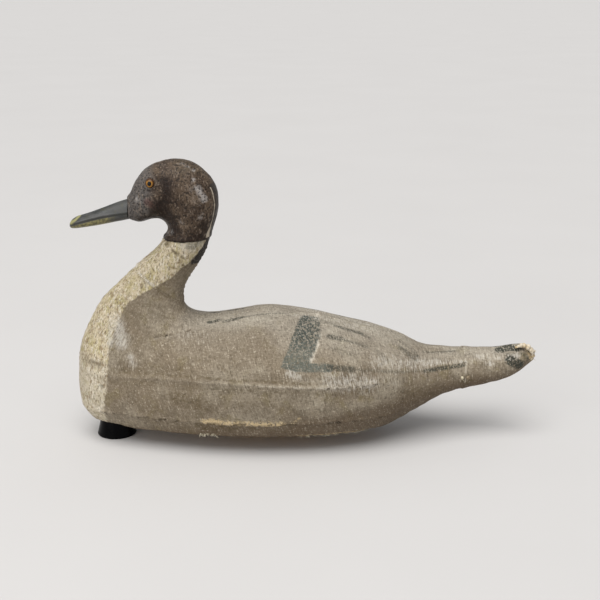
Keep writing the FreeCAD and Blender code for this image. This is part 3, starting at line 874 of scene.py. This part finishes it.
def loose_line(start, way, length, steps=5, curl=0.35):
    """A short thread that starts somewhere and wanders a little."""
    place, way = Vector(start), Vector(way).normalized()
    line = [place.copy()]
    for _ in range(steps):
        turn = Vector([random.uniform(-1, 1) for _ in range(3)])
        way = (way + curl * turn).normalized()
        place = place + way * length / steps
        line.append(place.copy())
    return line


# ---- materials ----

class Paint:
    """A procedural material. Colours are linear; sizes are in metres."""

    def __init__(self, name):
        self.material = bpy.data.materials.new(name)
        self.material.use_nodes = True
        self.tree = self.material.node_tree
        self.surface = self.tree.nodes["Principled BSDF"]
        self.place = self.node("ShaderNodeTexCoord").outputs["Object"]

    def node(self, kind, inputs=None, **settings):
        made = self.tree.nodes.new(kind)
        for key, value in settings.items():
            setattr(made, key, value)
        for key, value in (inputs or {}).items():
            self.put(made.inputs[key], value)
        return made

    def put(self, socket, value):
        if isinstance(value, bpy.types.NodeSocket):
            self.tree.links.new(value, socket)
        elif isinstance(value, tuple) and len(value) == 3 and socket.type == "RGBA":
            socket.default_value = (*value, 1)
        else:
            socket.default_value = value

    def attribute(self, name, output="Fac"):
        return self.node("ShaderNodeAttribute", attribute_name=name).outputs[output]

    def stretched(self, scale, place=None):
        """The place, or another vector, drawn out for a noise."""
        inputs = {"Vector": place or self.place, "Scale": scale}
        return self.node("ShaderNodeMapping", inputs).outputs["Vector"]

    def noise(self, size, detail=3.0, place=None, distortion=0.0, roughness=0.55):
        inputs = {"Scale": 1 / size, "Detail": detail, "Roughness": roughness, "Distortion": distortion}
        return self.node("ShaderNodeTexNoise", {"Vector": place or self.place, **inputs}).outputs["Fac"]

    def ramp(self, value, low, high, to_low=0.0, to_high=1.0):
        inputs = {"Value": value, "From Min": low, "From Max": high, "To Min": to_low, "To Max": to_high}
        return self.node("ShaderNodeMapRange", inputs, interpolation_type="SMOOTHSTEP").outputs["Result"]

    def math(self, operation, a, b=0.0, c=0.0):
        return self.node("ShaderNodeMath", {0: a, 1: b, 2: c}, operation=operation).outputs["Value"]

    def add(self, a, b):
        return self.math("ADD", a, b)

    def less(self, a, b):
        return self.math("SUBTRACT", a, b)

    def times(self, *values):
        product = values[0]
        for value in values[1:]:
            product = self.math("MULTIPLY", product, value)
        return product

    def swing(self, value, amount):
        """A noise value from 0 to 1 as half the amount to either side of 0."""
        return self.math("MULTIPLY_ADD", value, amount, -amount / 2)

    def mix(self, share, a, b):
        return self.node("ShaderNodeMix", {0: share, 6: a, 7: b}, data_type="RGBA").outputs[2]

    def dab(self, colour, over, value, low, high, strength=1.0):
        """Lay one colour over another where the value passes from low to high."""
        return self.mix(self.ramp(value, low, high, 0.0, strength), colour, over)

    def mask(self, name, amount, size, soft=0.6, strength=1.0):
        """A painted area with a ragged edge: the distance in mm, plus noise of that many mm."""
        ragged = self.swing(self.noise(size, 4), 2 * amount)
        return self.ramp(self.add(self.attribute(name), ragged), -soft, soft, 0.0, strength)

    def parts(self, vector):
        """X, Y and Z of a vector."""
        return self.node("ShaderNodeSeparateXYZ", {0: vector}).outputs

    def weave(self, pitch):
        """Height of a plain weave from the cloth's own threads, slightly uneven."""
        threads = self.parts(self.attribute("threads", "Vector"))
        wander = self.times(self.noise(0.006, 2), 0.0016)
        turns = [self.times(self.add(threads[axis], wander), 2 * math.pi / pitch) for axis in ("X", "Y")]
        over = self.times(*(self.math("SINE", turn) for turn in turns))
        return self.math("MULTIPLY_ADD", over, 0.5, 0.5)

    def streaks(self, across, along):
        """Noise drawn out along the threads of the cloth: its lengths across and along the duck."""
        threads = self.attribute("threads", "Vector")
        return self.noise(1.0, 2, self.stretched((1 / across, 1 / along, 1), threads))

    def finish(self, colour, roughness, height=None, depth=0.0003, strength=0.6, **sockets):
        sockets.update(Base_Color=colour, Roughness=roughness)
        if height is not None:
            inputs = {"Strength": strength, "Distance": depth, "Height": height}
            sockets["Normal"] = self.node("ShaderNodeBump", inputs).outputs["Normal"]
        for key, value in sockets.items():
            self.put(self.surface.inputs[key.replace("_", " ")], value)
        return self.material


# Colours of the canvas, as linear light
CREAM, YELLOWED, GREY_CREAM = (0.60, 0.505, 0.35), (0.47, 0.395, 0.205), (0.54, 0.485, 0.395)
CREAM_STAIN, CREAM_WISP, CREAM_FLECK = (0.27, 0.19, 0.10), (0.80, 0.74, 0.62), (0.17, 0.125, 0.07)
GREY_BROWN, PALE_GREY, DARK_BROWN = (0.215, 0.17, 0.115), (0.315, 0.268, 0.198), (0.10, 0.072, 0.042)
OLIVE_BROWN, UPWARD_PALE, LOWER_DARK = (0.19, 0.15, 0.065), (0.43, 0.405, 0.35), (0.105, 0.068, 0.038)
DULL, STAINED_AND_SHADED, CHALKY_AND_HIGHLIGHT = (0.17, 0.13, 0.085), (0.105, 0.075, 0.035), (0.60, 0.565, 0.50)
GREY_GREEN, GREEN_BLACK, STROKE_BLACK = (0.100, 0.110, 0.092), (0.026, 0.041, 0.037), (0.032, 0.034, 0.025)
NAPE_BLACK, BARE_CANVAS, RUB_AND_HIGHLIGHT = (0.018, 0.014, 0.011), (0.52, 0.40, 0.23), (0.74, 0.67, 0.55)
DIRT, HIGH_THREADS = (0.065, 0.048, 0.028), (0.64, 0.57, 0.45)


def flank_colour(p, blotch):
    """Thin grey-brown paint: mottled, paler where it faces up, and darker low on the sides up to a line above
    the hem.
    """
    flank = p.dab(GREY_BROWN, PALE_GREY, p.noise(0.045, 4), 0.38, 0.66)
    flank = p.dab(flank, DARK_BROWN, blotch, 0.48, 0.66, 0.42)
    flank = p.dab(flank, OLIVE_BROWN, p.noise(0.016, 5), 0.54, 0.7, 0.45)
    facing = p.parts(p.node("ShaderNodeNewGeometry").outputs["Normal"])["Z"]
    # paler on faces that point up
    flank = p.dab(flank, UPWARD_PALE, facing, 0.45, 1.0, 0.30)
    # darker low on the sides
    return p.mix(p.mask("grime", 5.0, 0.02, 8.0, 0.72), flank, LOWER_DARK)


def cream_colour(p, blotch):
    """Thick cream paint of the breast: yellowed, stained and flecked."""
    cream = p.dab(CREAM, YELLOWED, blotch, 0.40, 0.66)
    cream = p.mix(p.mask("lower_cream", 6, 0.02, 9, 0.55), cream, GREY_CREAM)
    cream = p.dab(cream, CREAM_STAIN, p.noise(0.006, 5), 0.52, 0.66, 0.8)
    cream = p.dab(cream, CREAM_WISP, p.noise(0.0022, 3, p.stretched((1, 1, 0.3))), 0.52, 0.64, 0.6)
    return p.dab(cream, CREAM_FLECK, p.noise(0.0014, 2, p.stretched((1, 1, 0.28))), 0.57, 0.64, 0.72)


def soiled_and_painted_light(p, colour, upright):
    """Dulled, stained and chalky patches over the paint, with painted shade and a painted highlight among
    them.
    """
    colour = p.dab(colour, DULL, p.attribute("dusk"), 0.0, 1.1, 0.72)
    # The stain mask darkens real stains and painted shade alike
    stain = p.times(p.ramp(p.attribute("stain"), 0.05, 0.8), p.ramp(p.noise(0.005, 5), 0.35, 0.62), 0.8)
    colour = p.mix(stain, colour, STAINED_AND_SHADED)
    # Chalky pale patches, and the painted highlight on the top of the back
    chalk_and_highlight = p.add(p.times(p.noise(0.0035, 4), 1.6), p.times(upright, 2.4))
    chalk_and_highlight = p.ramp(p.add(p.attribute("pale"), p.less(chalk_and_highlight, 2.0)), 0.0, 1.2)
    return p.mix(p.times(chalk_and_highlight, p.ramp(p.attribute("pale"), 0.0, 0.5, 0.0, 0.60)), colour, CHALKY_AND_HIGHLIGHT)


def feathered(p, colour, blotch, cloth):
    """Speculum and feather strokes, worn off the high threads; the speculum is more broken at its top."""
    specks = p.add(p.times(p.noise(0.0019, 3, roughness=0.7), 0.75), p.times(cloth, 0.25))
    worn = p.add(specks, p.swing(blotch, 0.20))
    upper = p.ramp(p.parts(p.place)["Z"], 0.104, 0.122)
    solid, broken = p.ramp(worn, 0.44, 0.60, 0.95, 0.42), p.ramp(worn, 0.45, 0.57, 0.97, 0.15)
    share = p.add(solid, p.times(upper, p.less(broken, solid)))
    green = p.mix(upper, GREY_GREEN, GREEN_BLACK)
    colour = p.mix(p.times(p.mask("dark", 1.8, 0.005, 1.0), share), colour, green)
    stroke = p.times(p.attribute("stroke"), p.ramp(worn, 0.46, 0.62, 0.95, 0.05))
    return p.mix(stroke, colour, STROKE_BLACK)


def canvas_paint(name):
    """Old oil paint on canvas: mottled, worn through to paler cloth, dirty in the weave, with painted
    highlight and painted shade laid into the colour.
    """
    p = Paint(name)
    upright, level = p.streaks(0.0013, 0.009), p.streaks(0.007, 0.0011)
    cloth = p.add(p.times(upright, 0.65), p.times(level, 0.35))
    blotch, fine = p.noise(0.011, 4, distortion=0.4), p.noise(0.0024, 3)
    grit = p.noise(0.0021, 3, roughness=0.75)
    colour = p.mix(p.mask("cream", 1.6, 0.004, 0.9), flank_colour(p, blotch), cream_colour(p, blotch))
    colour = feathered(p, soiled_and_painted_light(p, colour, upright), blotch, cloth)
    colour = p.mix(p.mask("nape", 0.8, 0.006, 0.5), colour, NAPE_BLACK)
    bare = p.times(p.mask("worn", 3.0, 0.0035, 1.5), p.ramp(fine, 0.36, 0.5))
    colour = p.mix(bare, colour, BARE_CANVAS)
    # Worn pale lines, and the painted highlight along the side strip's ridge
    rub = p.times(p.attribute("rubbed"), p.ramp(p.noise(0.006, 4), 0.38, 0.58, 0.0, 0.72))
    colour = p.mix(rub, colour, RUB_AND_HIGHLIGHT)
    dirt = p.add(p.times(grit, 0.5), p.times(cloth, 0.5))
    colour = p.dab(colour, DIRT, dirt, 0.51, 0.38, 0.60)
    colour = p.dab(colour, HIGH_THREADS, dirt, 0.53, 0.64, 0.46)
    height = p.add(p.times(p.weave(0.0013), 0.5), p.add(p.times(cloth, 1.3), grit))
    return p.finish(colour, p.ramp(fine, 0.3, 0.7, 0.62, 0.85), height, 0.0008, 0.8, Specular_IOR_Level=0.3)


def head_paint():
    """Dark brown oil paint on carved wood: thick, worn and scuffed, with painted shade in its hollows and a
    painted sheen on the back of the head.
    """
    p = Paint("head_paint")
    blotch, fine = p.noise(0.006, 5), p.noise(0.0019, 3)
    grit = p.noise(0.0021, 3, p.stretched((1, 1, 0.42)), roughness=0.75)
    brown = p.dab((0.032, 0.019, 0.011), (0.088, 0.060, 0.038), p.noise(0.018, 4), 0.36, 0.66)
    brown = p.mix(p.mask("crown", 4, 0.01, 4, 0.6), brown, (0.080, 0.058, 0.034))
    brown = p.mix(p.mask("face", 5, 0.012, 6, 0.85), brown, (0.086, 0.078, 0.072))
    brown = p.dab(brown, (0.09, 0.035, 0.026), p.attribute("jaw"), 0.1, 0.9, 0.5)
    # Painted shade in the carved hollows and along the lower edge
    deep = p.ramp(p.add(p.attribute("deep"), p.swing(blotch, 0.8)), 0.1, 0.9)
    brown = p.mix(p.times(deep, 0.94), brown, (0.012, 0.005, 0.0022))
    # Pale scuffs, and the painted sheen on the back of the head
    scuff_and_sheen = p.add(p.attribute("pale"), p.swing(p.noise(0.0035, 5), 1.9))
    scuff_and_sheen = p.times(p.ramp(scuff_and_sheen, 0.1, 1.4), p.ramp(p.attribute("pale"), 0.0, 0.6, 0.0, 0.75))
    colour = p.mix(scuff_and_sheen, brown, (0.35, 0.325, 0.305))
    specks = p.times(p.ramp(grit, 0.52, 0.65, 0.0, 0.55), p.ramp(deep, 0.2, 0.9, 1.0, 0.25))
    colour = p.mix(specks, colour, (0.24, 0.185, 0.14))
    colour = p.dab(colour, (0.008, 0.005, 0.003), fine, 0.50, 0.38, 0.8)
    colour = p.mix(p.mask("nape", 0.5, 0.006, 0.5, 0.8), colour, (0.030, 0.024, 0.020))
    broken = p.ramp(p.noise(0.005, 3), 0.30, 0.42)
    line = p.times(p.mask("cream_line", 0.35, 0.004, 0.3, 0.85), broken)
    colour = p.mix(line, colour, (0.50, 0.43, 0.33))
    height = p.add(p.times(blotch, 0.8), p.add(fine, grit))
    return p.finish(colour, p.ramp(blotch, 0.35, 0.7, 0.38, 0.6), height, 0.0009, 0.8, Specular_IOR_Level=0.2)


def bill_paint():
    """Slate paint with an olive lower edge and nail, dark in the mouth line."""
    p = Paint("bill_paint")
    grain = p.noise(0.004, 4, p.stretched((0.25, 1, 1)))
    slate = p.dab((0.023, 0.024, 0.022), (0.050, 0.048, 0.044), grain, 0.35, 0.68)
    slate = p.dab(slate, (0.045, 0.043, 0.022), p.noise(0.007, 4), 0.50, 0.68, 0.55)
    olive = p.dab((0.215, 0.188, 0.070), (0.085, 0.077, 0.032), p.noise(0.003, 3), 0.4, 0.65)
    colour = p.mix(p.mask("olive", 0.9, 0.005, 0.6, 0.9), slate, olive)
    colour = p.mix(p.mask("nail", 0.4, 0.004, 0.4, 0.75), colour, (0.30, 0.28, 0.11))
    colour = p.mix(p.times(p.attribute("mouth"), 0.75), colour, (0.012, 0.012, 0.008))
    colour = p.dab(colour, (0.02, 0.02, 0.018), p.attribute("root"), -0.9, -0.2, 0.8)
    return p.finish(colour, p.ramp(grain, 0.3, 0.7, 0.38, 0.55), grain, 0.0003, 0.5, Specular_IOR_Level=0.45)


def eye_glass():
    """Amber glass over painted rings, dark at the rim, with painted shade under the lid and a black pupil."""
    p = Paint("eye_glass")
    place = p.parts(p.place)
    across = p.less(place["X"], EYE.x - 0.6 * MM)
    up = p.less(place["Z"], EYE.z + 0.3 * MM)
    wide = p.math("POWER", p.times(across, 1.15), 2.0)
    radius = p.math("SQRT", p.add(wide, p.math("POWER", up, 2.0)))
    amber = p.dab((0.40, 0.20, 0.035), (0.22, 0.095, 0.014), p.noise(0.0012, 3), 0.35, 0.65)
    amber = p.dab(amber, (0.06, 0.024, 0.008), radius, 2.9 * MM, 4.1 * MM)
    # painted shade under the lid
    amber = p.dab(amber, (0.05, 0.022, 0.008), up, 1.2 * MM, 3.6 * MM, 0.8)
    colour = p.dab((0.002, 0.002, 0.002), amber, radius, 2.0 * MM, 2.6 * MM)
    return p.finish(colour, 0.3, Coat_Weight=0.12, Coat_Roughness=0.05, Specular_IOR_Level=0.15)


def wood(name, light, dark, grain_axis="X"):
    """Plain wood with its grain along one axis."""
    p = Paint(name)
    drawn = p.stretched({"X": (0.06, 1, 1), "Z": (1, 1, 0.06)}[grain_axis])
    fibre = p.noise(0.0009, 3, drawn)
    colour = p.dab(light, dark, p.noise(0.004, 4, drawn, 0.6), 0.35, 0.65)
    colour = p.dab(colour, tuple(0.5 * c for c in dark), fibre, 0.5, 0.7, 0.35)
    colour = p.dab(colour, (0.22, 0.17, 0.11), p.noise(0.03, 4), 0.5, 0.7, 0.4)
    return p.finish(colour, p.ramp(fibre, 0.3, 0.7, 0.6, 0.8), fibre, 0.0003, 0.5)


def metal(name, colour, roughness, stain, stained):
    """Dull metal with patches of rust or tarnish."""
    p = Paint(name)
    rust = p.ramp(p.noise(0.0035, 5), 0.62 - stained, 0.70)
    rough = p.ramp(rust, 0.0, 1.0, roughness, 0.85)
    shine = p.ramp(rust, 0.0, 1.0, 0.9, 0.1)
    return p.finish(p.mix(rust, colour, stain), rough, p.noise(0.0008, 3), 0.0002, 0.4, Metallic=shine)


def painted_tack():
    """A tack head under the same paint as the canvas round it."""
    p = Paint("painted_tack")
    colour = p.dab((0.24, 0.19, 0.125), (0.13, 0.09, 0.05), p.noise(0.003, 3), 0.4, 0.65)
    return p.finish(colour, 0.75, p.noise(0.0008, 3), 0.0002, 0.5, Specular_IOR_Level=0.3)


def black_foot():
    """Glossy black, as of turned and painted wood or hard rubber."""
    p = Paint("black_foot")
    smears = p.noise(0.012, 4)
    colour = p.dab((0.0006, 0.0006, 0.0008), (0.0015, 0.0015, 0.002), smears, 0.4, 0.7)
    rough = p.ramp(smears, 0.35, 0.7, 0.18, 0.3)
    return p.finish(colour, rough, p.noise(0.0012, 2), 0.0001, 0.3, Specular_IOR_Level=0.07)


def thread_paint(name, colour):
    """Dull cotton thread with its twist."""
    p = Paint(name)
    twist = p.noise(0.0006, 2)
    colour = p.dab(colour, tuple(0.6 * c for c in colour), twist, 0.35, 0.65)
    return p.finish(colour, 0.9, twist, 0.0002, 0.5)


def slot_materials():
    """The material of each slot in the record."""
    return {
        "pine": wood("pine", (0.50, 0.34, 0.18), (0.36, 0.22, 0.105)),
        "frame_strip": wood("frame_strip", (0.52, 0.38, 0.21), (0.40, 0.26, 0.13)),
        "plywood": wood("plywood", (0.50, 0.36, 0.20), (0.42, 0.28, 0.15), "Z"),
        "dowel": wood("dowel", (0.56, 0.42, 0.25), (0.46, 0.32, 0.17), "Z"),
        "body_canvas": canvas_paint("body_canvas"),
        "neck_canvas": canvas_paint("neck_canvas"),
        "tail_canvas": canvas_paint("tail_canvas"),
        "head_paint": head_paint(),
        "bill_paint": bill_paint(),
        "eye_glass": eye_glass(),
        "steel": metal("steel", (0.36, 0.34, 0.32), 0.42, (0.14, 0.06, 0.025), 0.02),
        "tack_iron": metal("tack_iron", (0.10, 0.09, 0.08), 0.5, (0.13, 0.055, 0.022), 0.10),
        "lead": metal("lead", (0.23, 0.235, 0.245), 0.6, (0.30, 0.30, 0.29), 0.08),
        "brass_wire": metal("brass_wire", (0.48, 0.33, 0.12), 0.38, (0.10, 0.085, 0.05), 0.05),
        "black_foot": black_foot(),
    }


# ---- assembling ----


def dress(shown, slot, *nodes, material=None):
    """Give a piece its material, let it ride on the decoy, and let it stand for its CAD nodes."""
    shown.data.materials.clear()
    shown.data.materials.append(material or MATERIALS[slot])
    for polygon in shown.data.polygons:
        polygon.use_smooth = True
    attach(shown, "decoy")
    if nodes:
        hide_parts(*nodes)
    return shown


def canvas_pieces():
    """The four cloths, cut from one skin so that they meet along their seams."""
    skin = whole_skin()
    stand_out(skin, canvas_relief)
    clear_of_wood(skin)
    (x0, z0), (x1, z1) = NECK_SEAM
    seam = SLEEVE_SEAM / MM

    planes = (
        ((x0, 0, z0), (z1 - z0, 0, x0 - x1)), ((0, 0, NECK_LOW), (0, 0, 1)), ((0, 0, 0), (0, 1, 0)),
        ((seam - SLEEVE_LAP, 0, 0), (1, 0, 0)), ((seam + SLEEVE_LAP, 0, 0), (1, 0, 0)),
    )

    def cut(work):
        for place, normal in planes:
            geometry = list(work.verts) + list(work.edges) + list(work.faces)
            place = [value * MM for value in place]
            bmesh.ops.bisect_plane(work, geom=geometry, dist=0.01 * MM, plane_co=place, plane_no=normal)

    def in_body(p):
        return not in_neck(p) and p.x < seam + SLEEVE_LAP

    rework(skin, cut)
    left = keep_part(skin, "left_canvas_cloth", lambda p: in_body(p) and p.y < 0)
    right = keep_part(skin, "right_canvas_cloth", lambda p: in_body(p) and p.y > 0)
    neck = keep_part(skin, "neck_canvas_cloth", in_neck)
    tail = keep_part(skin, "tail_canvas_cloth", lambda p: p.x > seam - SLEEVE_LAP)
    stand_out(tail, lambda q: 0.25 + 0.25 * fall(q[:, 0], seam + 1, seam + 9) + 0.15 * lumps(q, 4, 6))
    bpy.data.objects.remove(skin)
    cloths = ((left, "left_canvas"), (right, "right_canvas"), (neck, "neck_canvas"), (tail, "tail_canvas"))
    for piece, node in cloths:
        paint_areas(piece)
        paint_wear(piece)
        thicken(piece, 0.9)
        dress(piece, slots[node], node)
    return left, right, neck, tail


def carved_pieces():
    """The head, with sockets under the glass eyes, and the bill."""
    def eye_holes(grid):
        x, y, z = np.moveaxis(grid, 2, 0)
        return eye_distance(x, y - 10, z) < 6.5

    head = round_mesh("head_carving", tube_grid(HEAD_FAN, ["head"], 0.95, 22, 84, eye_holes))
    stand_out(head, head_relief)
    head_masks(head)
    dress(head, "head_paint", "head")
    bill = round_mesh("bill_carving", tube_grid(BILL_FAN, ["bill"], 0.6, 6, 44))
    stand_out(bill, bill_relief)
    bill_masks(bill)
    dress(bill, "bill_paint", "bill")


def thread_piece(name, lines, colour, slot):
    return dress(thread_mesh(name, lines), slot, material=thread_paint(name + "_paint", colour))


def frayed_edges(cloth):
    """Threads that hang from the left hem, where the photo shows it frayed."""
    points = points_of(cloth)
    low = points[np.abs(points[:, 2] - BOARD_LOW / MM) < 0.6]
    near = (low[np.abs(low[:, 0] - x) < 2.5] for x in range(-210, 92, 2))
    edge = np.array([row[np.argmin(row[:, 1])] for row in near])

    def edge_y(x):
        return edge[np.argmin(np.abs(edge[:, 0] - x)), 1]

    lines = []
    for _ in range(46):
        x = random.uniform(-6, 62)
        y = edge_y(x) - random.uniform(0, 0.5)
        way = (random.uniform(-1, 1), -0.5, -0.25)
        lines.append((loose_line((x, y, 20.8), way, random.uniform(1.5, 3.5)), 0.16))
    for _ in range(34):
        x = random.uniform(-105, -87)
        start = (x, edge_y(x) - 0.5, random.uniform(20.5, 24))
        way = (random.uniform(-1, 1), -0.25, -0.4)
        lines.append((loose_line(start, way, random.uniform(2, 5)), 0.26))
    return thread_piece("frayed_hem_threads", lines, (0.62, 0.56, 0.42), "body_canvas")


def sleeve_knots():
    """A knot of thread at the sleeve's edge on each side, partly painted over."""
    lines = []
    for side in (-1, 1):
        place = Vector((156.3, side * 23.7, 68.6))
        loop = []
        for step in range(46):
            turn, share = step * 0.62, step / 45
            reach = 0.2 + 1.15 * share
            out = 1.1 - 1.1 * share ** 2 + 0.15 * math.sin(step * 1.9)
            loop.append(place + Vector((reach * math.cos(turn), side * out, reach * math.sin(turn))))
        lines.append((loop, 0.55))
        lines.append((loose_line(place, (0.4, side * 0.4, -1), 3.5), 0.3))
    return thread_piece("sleeve_knots", lines, (0.60, 0.53, 0.38), "tail_canvas")


def tip_threads():
    """Loose threads at the torn end of the tail."""
    lines = []
    for _ in range(26):
        start = (random.uniform(219, 230), random.uniform(-10, -5), random.uniform(80, 97))
        way = (random.uniform(0, 1), random.uniform(-0.6, 0.2), random.uniform(-0.8, 0.8))
        lines.append((loose_line(start, way, random.uniform(2, 4.5)), 0.17))
    return thread_piece("frayed_tail_threads", lines, (0.56, 0.46, 0.30), "tail_canvas")


# What the canvas paint reads on a torn, bare piece: no paint inside any outline, bare cloth all over
TORN_PAINT = {
    "cream": -50, "lower_cream": -50, "dark": -50, "nape": -50, "grime": -50, "worn": 30, "rubbed": 0.9,
    "stroke": 0, "pale": 0, "stain": 0, "dusk": 0,
}


def torn_tip():
    """The torn end of the sleeve: canvas rolled outward over the tip."""
    path = (
        (210.5, -9.5, 95.5), (215.5, -8.5, 97), (220.5, -7.5, 96.4), (225, -7, 93.5), (228, -6.5, 89.5),
        (228.5, -6.5, 85.5), (227, -7, 82),
    )
    steps, turns = 44, 25
    path = curve(path, np.linspace(0, len(path) - 1, steps))
    rows, threads = [], []
    for index, place in enumerate(path):
        way = path[min(index + 1, steps - 1)] - path[max(index - 1, 0)]
        way /= np.linalg.norm(way)
        side = np.array((0, 1.0, 0)) - way * way[1]
        side /= np.linalg.norm(side)
        up = np.cross(way, side)
        swell = math.sin(math.pi * min(max(index / (steps - 1), 0.07), 0.93)) ** 0.5
        swell *= 1 + 0.5 * noise.noise(Vector((index * 0.3, 3, 1)))
        for step in range(turns):
            turn = step / (turns - 1)
            angle = 2 * math.pi * (0.30 + 1.25 * turn)
            reach = (1.5 + 2.3 * turn) * swell + 0.6 * noise.noise(Vector((index * 0.45, turn * 5, 7)))
            rows.append(place + reach * (side * math.cos(angle) + up * math.sin(angle)))
            threads.append((index * MM, step * 0.6 * MM, 0))
    shown = new_mesh("torn_tail_canvas", np.array(rows), grid_faces(steps, turns, False), threads)
    thicken(shown, 0.8)
    paint(shown, **{name: np.full(len(rows), value) for name, value in TORN_PAINT.items()})
    return dress(shown, "tail_canvas")


def light(name, kind, energy, way, **settings):
    """A light that shines one way."""
    lamp = bpy.data.lights.new(name, kind)
    lamp.energy = energy
    for key, value in settings.items():
        setattr(lamp, key, value)
    shown = show(name, lamp)
    shown.rotation_euler = Vector(way).to_track_quat("-Z", "Y").to_euler()
    return shown


def studio():
    """A plain pale floor, soft light and the camera."""
    half = 60.0 / MM
    corners = [np.array((x * half, y * half, 0.0)) for x, y in ((-1, -1), (1, -1), (1, 1), (-1, 1))]
    floor = new_mesh("floor", corners, [(0, 1, 2, 3)])
    p = Paint("floor")
    stone = p.mix(p.noise(0.3, 3), (0.50, 0.485, 0.47), (0.53, 0.515, 0.50))
    floor.data.materials.append(p.finish(stone, 0.75))

    world = bpy.data.worlds.new("studio")
    world.use_nodes = True
    sky = world.node_tree.nodes["Background"]
    sky.inputs[0].default_value = (0.97, 0.98, 1.0, 1)
    sky.inputs[1].default_value = 0.50
    bpy.context.scene.world = world

    light("overhead", "SUN", 3.1, (0.12, 0.42, -1), angle=math.radians(50))
    light("front", "AREA", 9, (1.1, 1.3, -0.7), size=1.2).location = (-1.1, -1.3, 0.8)
    camera = bpy.data.cameras.new("camera")
    camera.lens = 66
    camera.sensor_width = 36
    shown = show("camera", camera)
    shown.location = (-0.0056, -1.0547, 0.4551)
    shown.rotation_euler = (math.radians(90 - 16.5), 0, 0)
    bpy.context.scene.camera = shown
    bpy.context.scene.view_settings.view_transform = "Standard"


studio()
MATERIALS = slot_materials()
slots = {part["node"]: part["material_slot"] for part in frame["record"]["subparts"]}
for node, shown_node in frame["nodes"].items():
    shown_node.data.materials.clear()
    shown_node.data.materials.append(MATERIALS[slots[node]])
frame["nodes"]["sleeve_tacks"].data.materials[0] = painted_tack()

left_cloth, right_cloth, neck_cloth, tail_cloth = canvas_pieces()
carved_pieces()
hem_threads = frayed_edges(left_cloth)
tail_extras = [sleeve_knots(), torn_tip(), tip_threads()]
